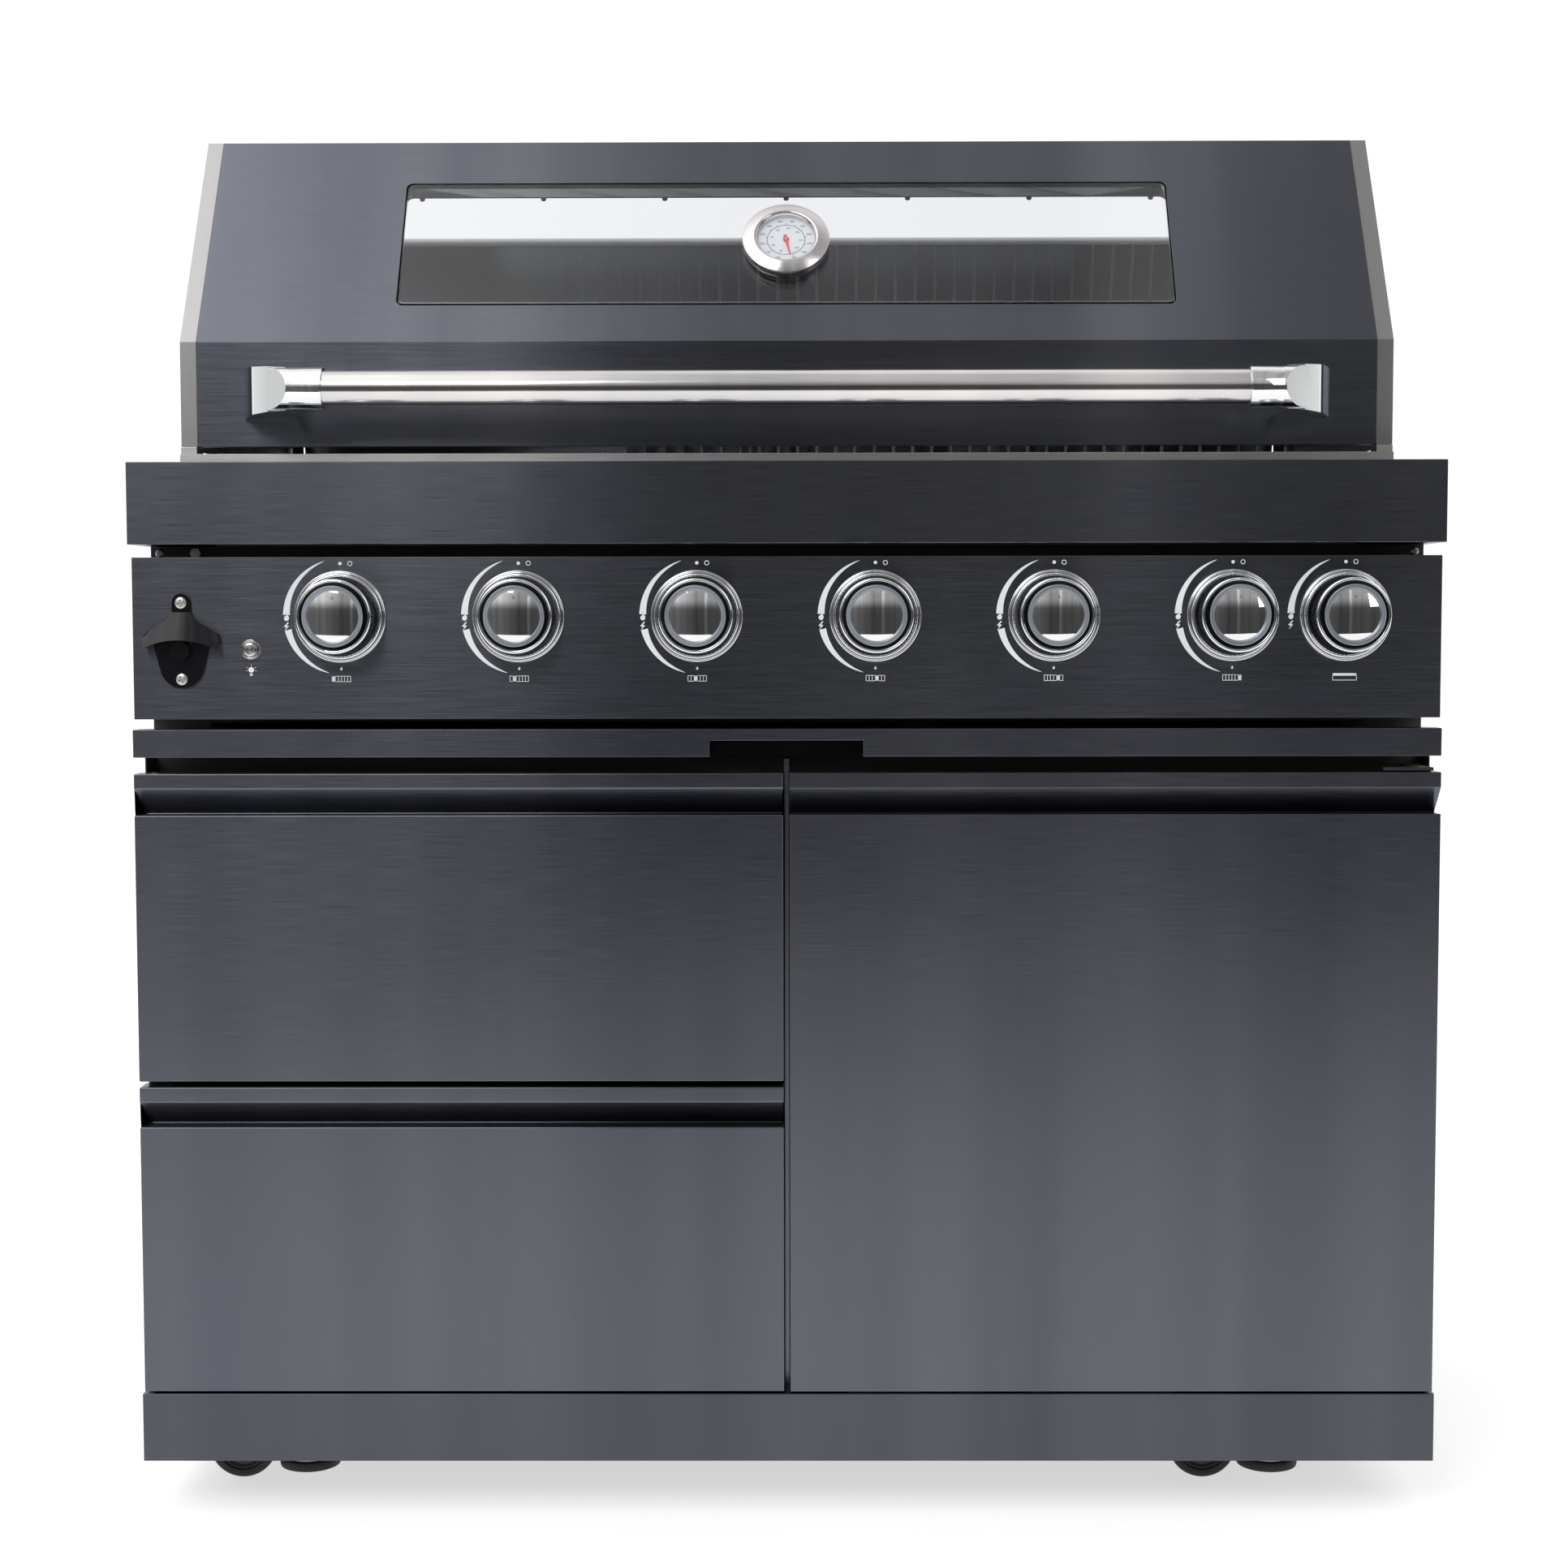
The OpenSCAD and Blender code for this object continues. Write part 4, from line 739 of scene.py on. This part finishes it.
HOOD_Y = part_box("hood_shell")[0].y
SLOPE = math.atan2(SLOPE_TOP_Z - BEND_Z, SLOPE_RUN)
slope_frame = Matrix.Translation((0, HOOD_Y, BEND_Z)) @ Matrix.Rotation(SLOPE, 4, "X")
dial_frame = slope_frame @ Matrix.Translation((0, DIAL_UP, 0))
tube_lo, tube_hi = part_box("handle_tube")
HANDLE = Vector((0, (tube_lo.y + tube_hi.y) / 2, (tube_lo.z + tube_hi.z) / 2))


def handle_pieces():
    along = Matrix.Translation(HANDLE) @ Matrix.Rotation(math.radians(90), 4, "Y")
    r, end = 15.5, tube_hi.x / MM
    bm = bmesh.new()
    lathe(bm, scaled([(13.5, -end), (r, -end), (r, end), (13.5, end), (13.5, -end)]), along, 96)
    place("handle_tube_turned", bm, M["tube"], "hood", "bright_steel", ["handle_tube"], smooth=35)
    bm = bmesh.new()
    sleeve = [(15.6, 394.6), (17.5, 394.1), (18.0, 394.7), (18.0, 421.8),
              (17.8, 422.2), (15.6, 422.2), (15.6, 394.6)]
    for turned in (along @ Matrix.Rotation(math.pi, 4, "X"), along):
        lathe(bm, scaled(sleeve), turned, 96)
    place("handle_sleeves", bm, M["chrome"], "hood", "chrome", smooth=28)
    skin("handle_brackets", M["chrome"], "chrome", 0.0013, 3)


def thermometer_pieces():
    bm = bmesh.new()
    case = [(25.5, 5.5), (25.5, 10.2), (26.0, 11.0), (27.0, 12.3), (27.8, 12.75), (28.8, 12.75), (29.6, 12.5),
            (38.1, 9.5), (38.6, 9.1), (38.8, 8.5), (38.8, 1.5), (38.4, 0.8), (37.8, 0.5), (30, 0.4)]
    lathe(bm, scaled(case), dial_frame, 128)
    place("thermometer_case_turned", bm, M["spun"], "hood", "bright_steel", ["thermometer_case"], smooth=30)
    bm = bmesh.new()
    stem = [(0, 0.5), (3, 0.5), (3, -5), (10, -5), (10, -12.4), (9.4, -13),
            (3, -13), (3, -59.4), (2.4, -60), (0, -60)]
    lathe(bm, scaled(stem), dial_frame, 48)
    place("thermometer_stem", bm, M["chrome"], "hood", "bright_steel", smooth=30)
    ticks = bmesh.new()
    # A dark ink disc on the case rim stands for the drain hole: painted shade; it is part of the dial scale
    # mesh
    drain_hole_shade = dial_frame @ Matrix.Rotation(math.radians(-86), 4, "Z") @ Matrix.Translation((0.0388, 0, 0.005))
    drain_hole_shade = drain_hole_shade @ Matrix.Rotation(math.radians(90), 4, "Y")
    prism(ticks, circle_points(0.0012, 16), drain_hole_shade, -0.0006, 0.00008)
    raised = DIAL_TOP + 0.06
    scale_ring = [(16.5, DIAL_TOP), (16.9, DIAL_TOP), (16.9, raised), (16.5, raised), (16.5, DIAL_TOP)]
    lathe(ticks, scaled(scale_ring), dial_frame, 96)
    for k in range(61):
        long, width = (1.8, 0.2) if k % 5 == 0 else (0.7, 0.1)
        tick_bar(ticks, math.radians(-110 - 320 * k / 60), 16.9, 16.9 + long, width)
    place("dial_scale", ticks, M["ink"], "hood", "bright_steel", smooth=20)
    bm = bmesh.new()
    lathe(bm, scaled([(25.5, 5.6), (25.5, 6.45), (0, 6.5)]), dial_frame, 96)
    place("dial_face_disc", bm, M["dial"], "hood", "bright_steel", smooth=20)
    bm = bmesh.new()
    lens = [(25.5, 9.2), (25.5, 10.2), (18, 10.4), (9, 10.5), (0, 10.55), (0, 9.4), (25.5, 9.2)]
    lathe(bm, scaled(lens), dial_frame, 96)
    place("dial_lens", bm, M["lens"], "hood", "glass", smooth=50)
    dial_numbers()
    needle = bmesh.new()
    turned = dial_frame @ Matrix.Rotation(math.radians(NEEDLE_REST), 4, "Z")
    outline = [(-1.6, 5), (1.6, 5), (1.3, 0), (0.45, -17.2), (0, -17.6), (-0.45, -17.2), (-1.3, 0)]
    prism(needle, scaled(outline), turned, 7.4 * MM, 7.9 * MM)
    boss = [(0, 5.7), (1.1, 5.7), (1.1, 7.1), (2.6, 7.1), (2.6, 8.0), (0, 8.1)]
    lathe(needle, scaled(boss), dial_frame, 32)
    place("needle_pointer", needle, M["red"], "needle", "red_paint", ["thermometer_needle"], smooth=35)
    bm = bmesh.new()
    lathe(bm, scaled([(0, 8.0), (1.1, 8.0), (1.1, 8.5), (0.8, 8.75), (0, 8.8)]), dial_frame, 32)
    place("needle_pivot_cap", bm, M["chrome"], "needle", "chrome", smooth=35)


def tick_bar(bm, angle, r0, r1, width):
    c, s = math.cos(angle), math.sin(angle)
    corners = ((r0, -width), (r1, -width), (r1, width), (r0, width))
    bar = [((r * c - w * s) * MM, (r * s + w * c) * MM) for r, w in corners]
    prism(bm, bar, dial_frame, DIAL_TOP * MM, (DIAL_TOP + 0.06) * MM)


def dial_numbers():
    """Plain scale numbers round the dial, two rings of them."""
    rings = ((21.5, 3.0, range(100, 651, 50), 29.1), (13.2, 2.5, range(50, 401, 50), 42.0))
    for ring, (radius, size, numbers, step) in enumerate(rings):
        for k, number in enumerate(numbers):
            angle = math.radians(-110 - step * k)
            curve = bpy.data.curves.new(f"number_{ring}_{k}", "FONT")
            curve.body = str(number)
            curve.size = size * MM
            curve.align_x = "CENTER"
            curve.align_y = "CENTER"
            curve.extrude = 0.00002
            text = bpy.data.objects.new(f"number_{ring}_{k}", curve)
            bpy.context.scene.collection.objects.link(text)
            mesh = bpy.data.meshes.new_from_object(text)
            bpy.data.objects.remove(text)
            bm = bmesh.new()
            bm.from_mesh(mesh)
            across, up = radius * MM * math.cos(angle), radius * MM * math.sin(angle)
            bm.transform(dial_frame @ Matrix.Translation((across, up, (DIAL_TOP + 0.03) * MM)))
            place(f"dial_number_{ring}_{k}", bm, M["ink"], "hood", "bright_steel", smooth=20)


# ---------- bottle opener ----------


def opener_piece():
    skin("bottle_opener", M["gloss"], "gloss_black", 0.0009, 3, smooth=50)


# ---------- casters and pads ----------


def caster_pieces():
    tyre = [(23.2, -9.2), (24.0, -10.4)] + arc(27.4, -7.6, 3.4, -90, -8, 6) + [(31.0, -4), (31.0, 4)]
    tyre += arc(27.4, 7.6, 3.4, 8, 90, 6) + [(24.0, 10.4), (23.2, 9.2), (23.2, -9.2)]
    hub = [(4.1, -11), (9.6, -11), (10.2, -10.4), (11.2, -8.4), (13, -7.2), (19.5, -7.2), (21.4, -8.6),
           (23.2, -9.0), (23.2, 9.0), (21.4, 8.6), (19.5, 7.2), (13, 7.2), (11.2, 8.4), (10.2, 10.4),
           (9.6, 11), (4.1, 11), (4.1, -11)]
    for k in range(1, 5):
        lo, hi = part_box(f"caster_wheel_{k}")
        at = Matrix.Translation((lo + hi) / 2) @ Matrix.Rotation(math.radians(90), 4, "X")
        bm = bmesh.new()
        lathe(bm, scaled(tyre), at, 96)
        place(f"caster_tyre_{k}", bm, M["rubber"], f"wheel_{k}", "rubber", [f"caster_wheel_{k}"], smooth=35)
        bm = bmesh.new()
        lathe(bm, scaled(hub), at, 64)
        place(f"caster_hub_{k}", bm, M["paint"], f"wheel_{k}", "rubber", smooth=35)
        skin(f"caster_frame_{k}", M["paint"], "dark_paint", 0.0005, 2)


def pad_pieces():
    foot_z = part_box("levelling_feet")[0].z
    rubber, steel = bmesh.new(), bmesh.new()
    pad = [(0, 0.6), (20, 0.6), (22, 0), (25.2, 0), (26.9, 0.7), (27.5, 2.2), (27.5, 6.4),
           (26.6, 8.4), (25, 9), (0, 9)]
    cap = [(23.5, 9), (23.5, 10.6), (22.4, 11.8), (20, 12), (8.2, 12), (8.2, 14.5), (5, 14.5), (0, 14.5)]
    thread = [(5.0 if n % 2 else 4.45, 14.5 + 0.75 * n) for n in range(51)]
    for k in range(1, 5):
        wheel_lo, wheel_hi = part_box(f"caster_wheel_{k}")
        x = (wheel_lo.x + wheel_hi.x) / 2 + PAD_OFFSET
        y = (wheel_lo.y + wheel_hi.y) / 2
        at = Matrix.Translation((x, y, foot_z))
        lathe(rubber, scaled(pad), at, 96)
        lathe(steel, scaled(cap), at, 64)
        lathe(steel, scaled(thread + [(0, 52.6)]), at, 24)
    place("levelling_pads", rubber, M["rubber"], "levelling_feet", "rubber", ["levelling_feet"], smooth=35)
    place("levelling_spindles", steel, M["bright"], "levelling_feet", "rubber", smooth=30)


# ---------- setting ----------


def profile(tree, factor, interpolation, levels):
    """A grey level that follows a few (position, level) stops."""
    node = tree.nodes.new("ShaderNodeValToRGB")
    node.color_ramp.interpolation = interpolation
    stops = node.color_ramp.elements
    while len(stops) < len(levels):
        stops.new(0.5)
    for stop, (at, level) in zip(stops, levels):
        stop.position = at
        stop.color = (level, level, level, 1)
    tree.links.new(factor, node.inputs["Fac"])
    return node.outputs["Color"]


def world_light():
    """Studio surround: white behind the object, a dim room in front, brighter to the left and overhead."""
    world = bpy.data.worlds.new("studio")
    bpy.context.scene.world = world
    world.use_nodes = True
    tree = world.node_tree
    back = tree.nodes["Background"]
    coords = tree.nodes.new("ShaderNodeTexCoord")
    split = tree.nodes.new("ShaderNodeSeparateXYZ")
    tree.links.new(coords.outputs["Generated"], split.inputs[0])
    up = split.outputs["Z"]
    across = spread(tree, split.outputs["X"], 0.0, 1.0, (-SURROUND_HALF_X, SURROUND_HALF_X))
    height = profile(tree, spread(tree, up, 0.0, 1.0, (0.0, 1.0)), "EASE", HEIGHT_LEVELS)
    low_sides = profile(tree, across, "EASE", LOW_LEVELS)
    high_sides = profile(tree, across, "EASE", HIGH_LEVELS)
    sides = blend_colour(tree, spread(tree, up, 0.0, 1.0, OVERHEAD), low_sides, high_sides)
    ripple = add_node(tree, "ShaderNodeTexNoise", Scale=11.0, Detail=2.0, noise_dimensions="1D")
    tree.links.new(split.outputs["X"], ripple.inputs["W"])
    streaks = spread(tree, ripple.outputs["Fac"], 2.3, 3.7)
    room = combine(tree, "MULTIPLY", combine(tree, "MULTIPLY", height, sides), streaks)
    both = add_node(tree, "ShaderNodeMix", data_type="FLOAT")
    tree.links.new(spread(tree, split.outputs["Y"], 0.0, 1.0, BEHIND), both.inputs[0])
    tree.links.new(room, both.inputs[2])
    both.inputs[3].default_value = BEHIND_LEVEL
    tree.links.new(both.outputs[0], back.inputs["Strength"])
    back.inputs["Color"].default_value = (1.0, 1.0, 1.0, 1)


def area(name, place_at, target, size, power):
    lamp = bpy.data.lights.new(name, "AREA")
    lamp.shape = "RECTANGLE"
    lamp.size, lamp.size_y = size
    lamp.energy = power
    obj = bpy.data.objects.new(name, lamp)
    obj.location = place_at
    obj.rotation_euler = (Vector(target) - Vector(place_at)).to_track_quat("-Z", "Y").to_euler()
    bpy.context.scene.collection.objects.link(obj)


def floor_piece():
    mat, tree, shader = new_material("pale_floor", Roughness=0.7, Emission_Strength=0.62)
    shader.inputs["Emission Color"].default_value = (1, 1, 1, 1)
    pale = ramp(tree, noise(tree, 1.5), (0.5, 0.5, 0.5), (0.53, 0.53, 0.53))
    tree.links.new(pale, shader.inputs["Base Color"])
    bm = bmesh.new()
    outline = [(-FLOOR_HALF_W, FLOOR_FRONT), (FLOOR_HALF_W, FLOOR_FRONT),
               (FLOOR_HALF_W, FLOOR_BACK), (-FLOOR_HALF_W, FLOOR_BACK)]
    prism(bm, outline, Matrix.Identity(4), -FLOOR_T, 0.0)
    mesh = bpy.data.meshes.new("floor")
    bmesh.ops.recalc_face_normals(bm, faces=bm.faces)
    bm.to_mesh(mesh)
    bm.free()
    mesh.materials.append(mat)
    floor = bpy.data.objects.new("floor", mesh)
    bpy.context.scene.collection.objects.link(floor)


def camera():
    lens = bpy.data.cameras.new("camera")
    lens.lens = LENS
    lens.sensor_width = SENSOR
    eye = bpy.data.objects.new("camera", lens)
    turn = Matrix.Rotation(math.radians(CAMERA_TURN), 4, "Z")
    turn = turn @ Matrix.Rotation(math.radians(90 - CAMERA_TILT), 4, "X")
    turn = turn @ Matrix.Rotation(math.radians(CAMERA_ROLL), 4, "Z")
    eye.matrix_world = Matrix.Translation(CAMERA_AT) @ turn
    bpy.context.scene.collection.objects.link(eye)
    bpy.context.scene.camera = eye


sheet_metal()
button_at = bezel_pieces()
for number, knob_x in enumerate(KNOB_XS, 1):
    knob_piece(number, knob_x, KNOB_Z)
printed_marks(button_at)
tray_liner()
screw_pieces()
handle_pieces()
thermometer_pieces()
opener_piece()
caster_pieces()
pad_pieces()
floor_piece()
world_light()
area("key", (-1.6, -3.4, 3.0), (0, 0, 0.8), (2.2, 1.4), 40)
area("fill", (2.4, -3.0, 2.2), (0, 0, 0.7), (1.2, 2.0), 16)
camera()
bpy.context.scene.view_settings.view_transform = "Standard"
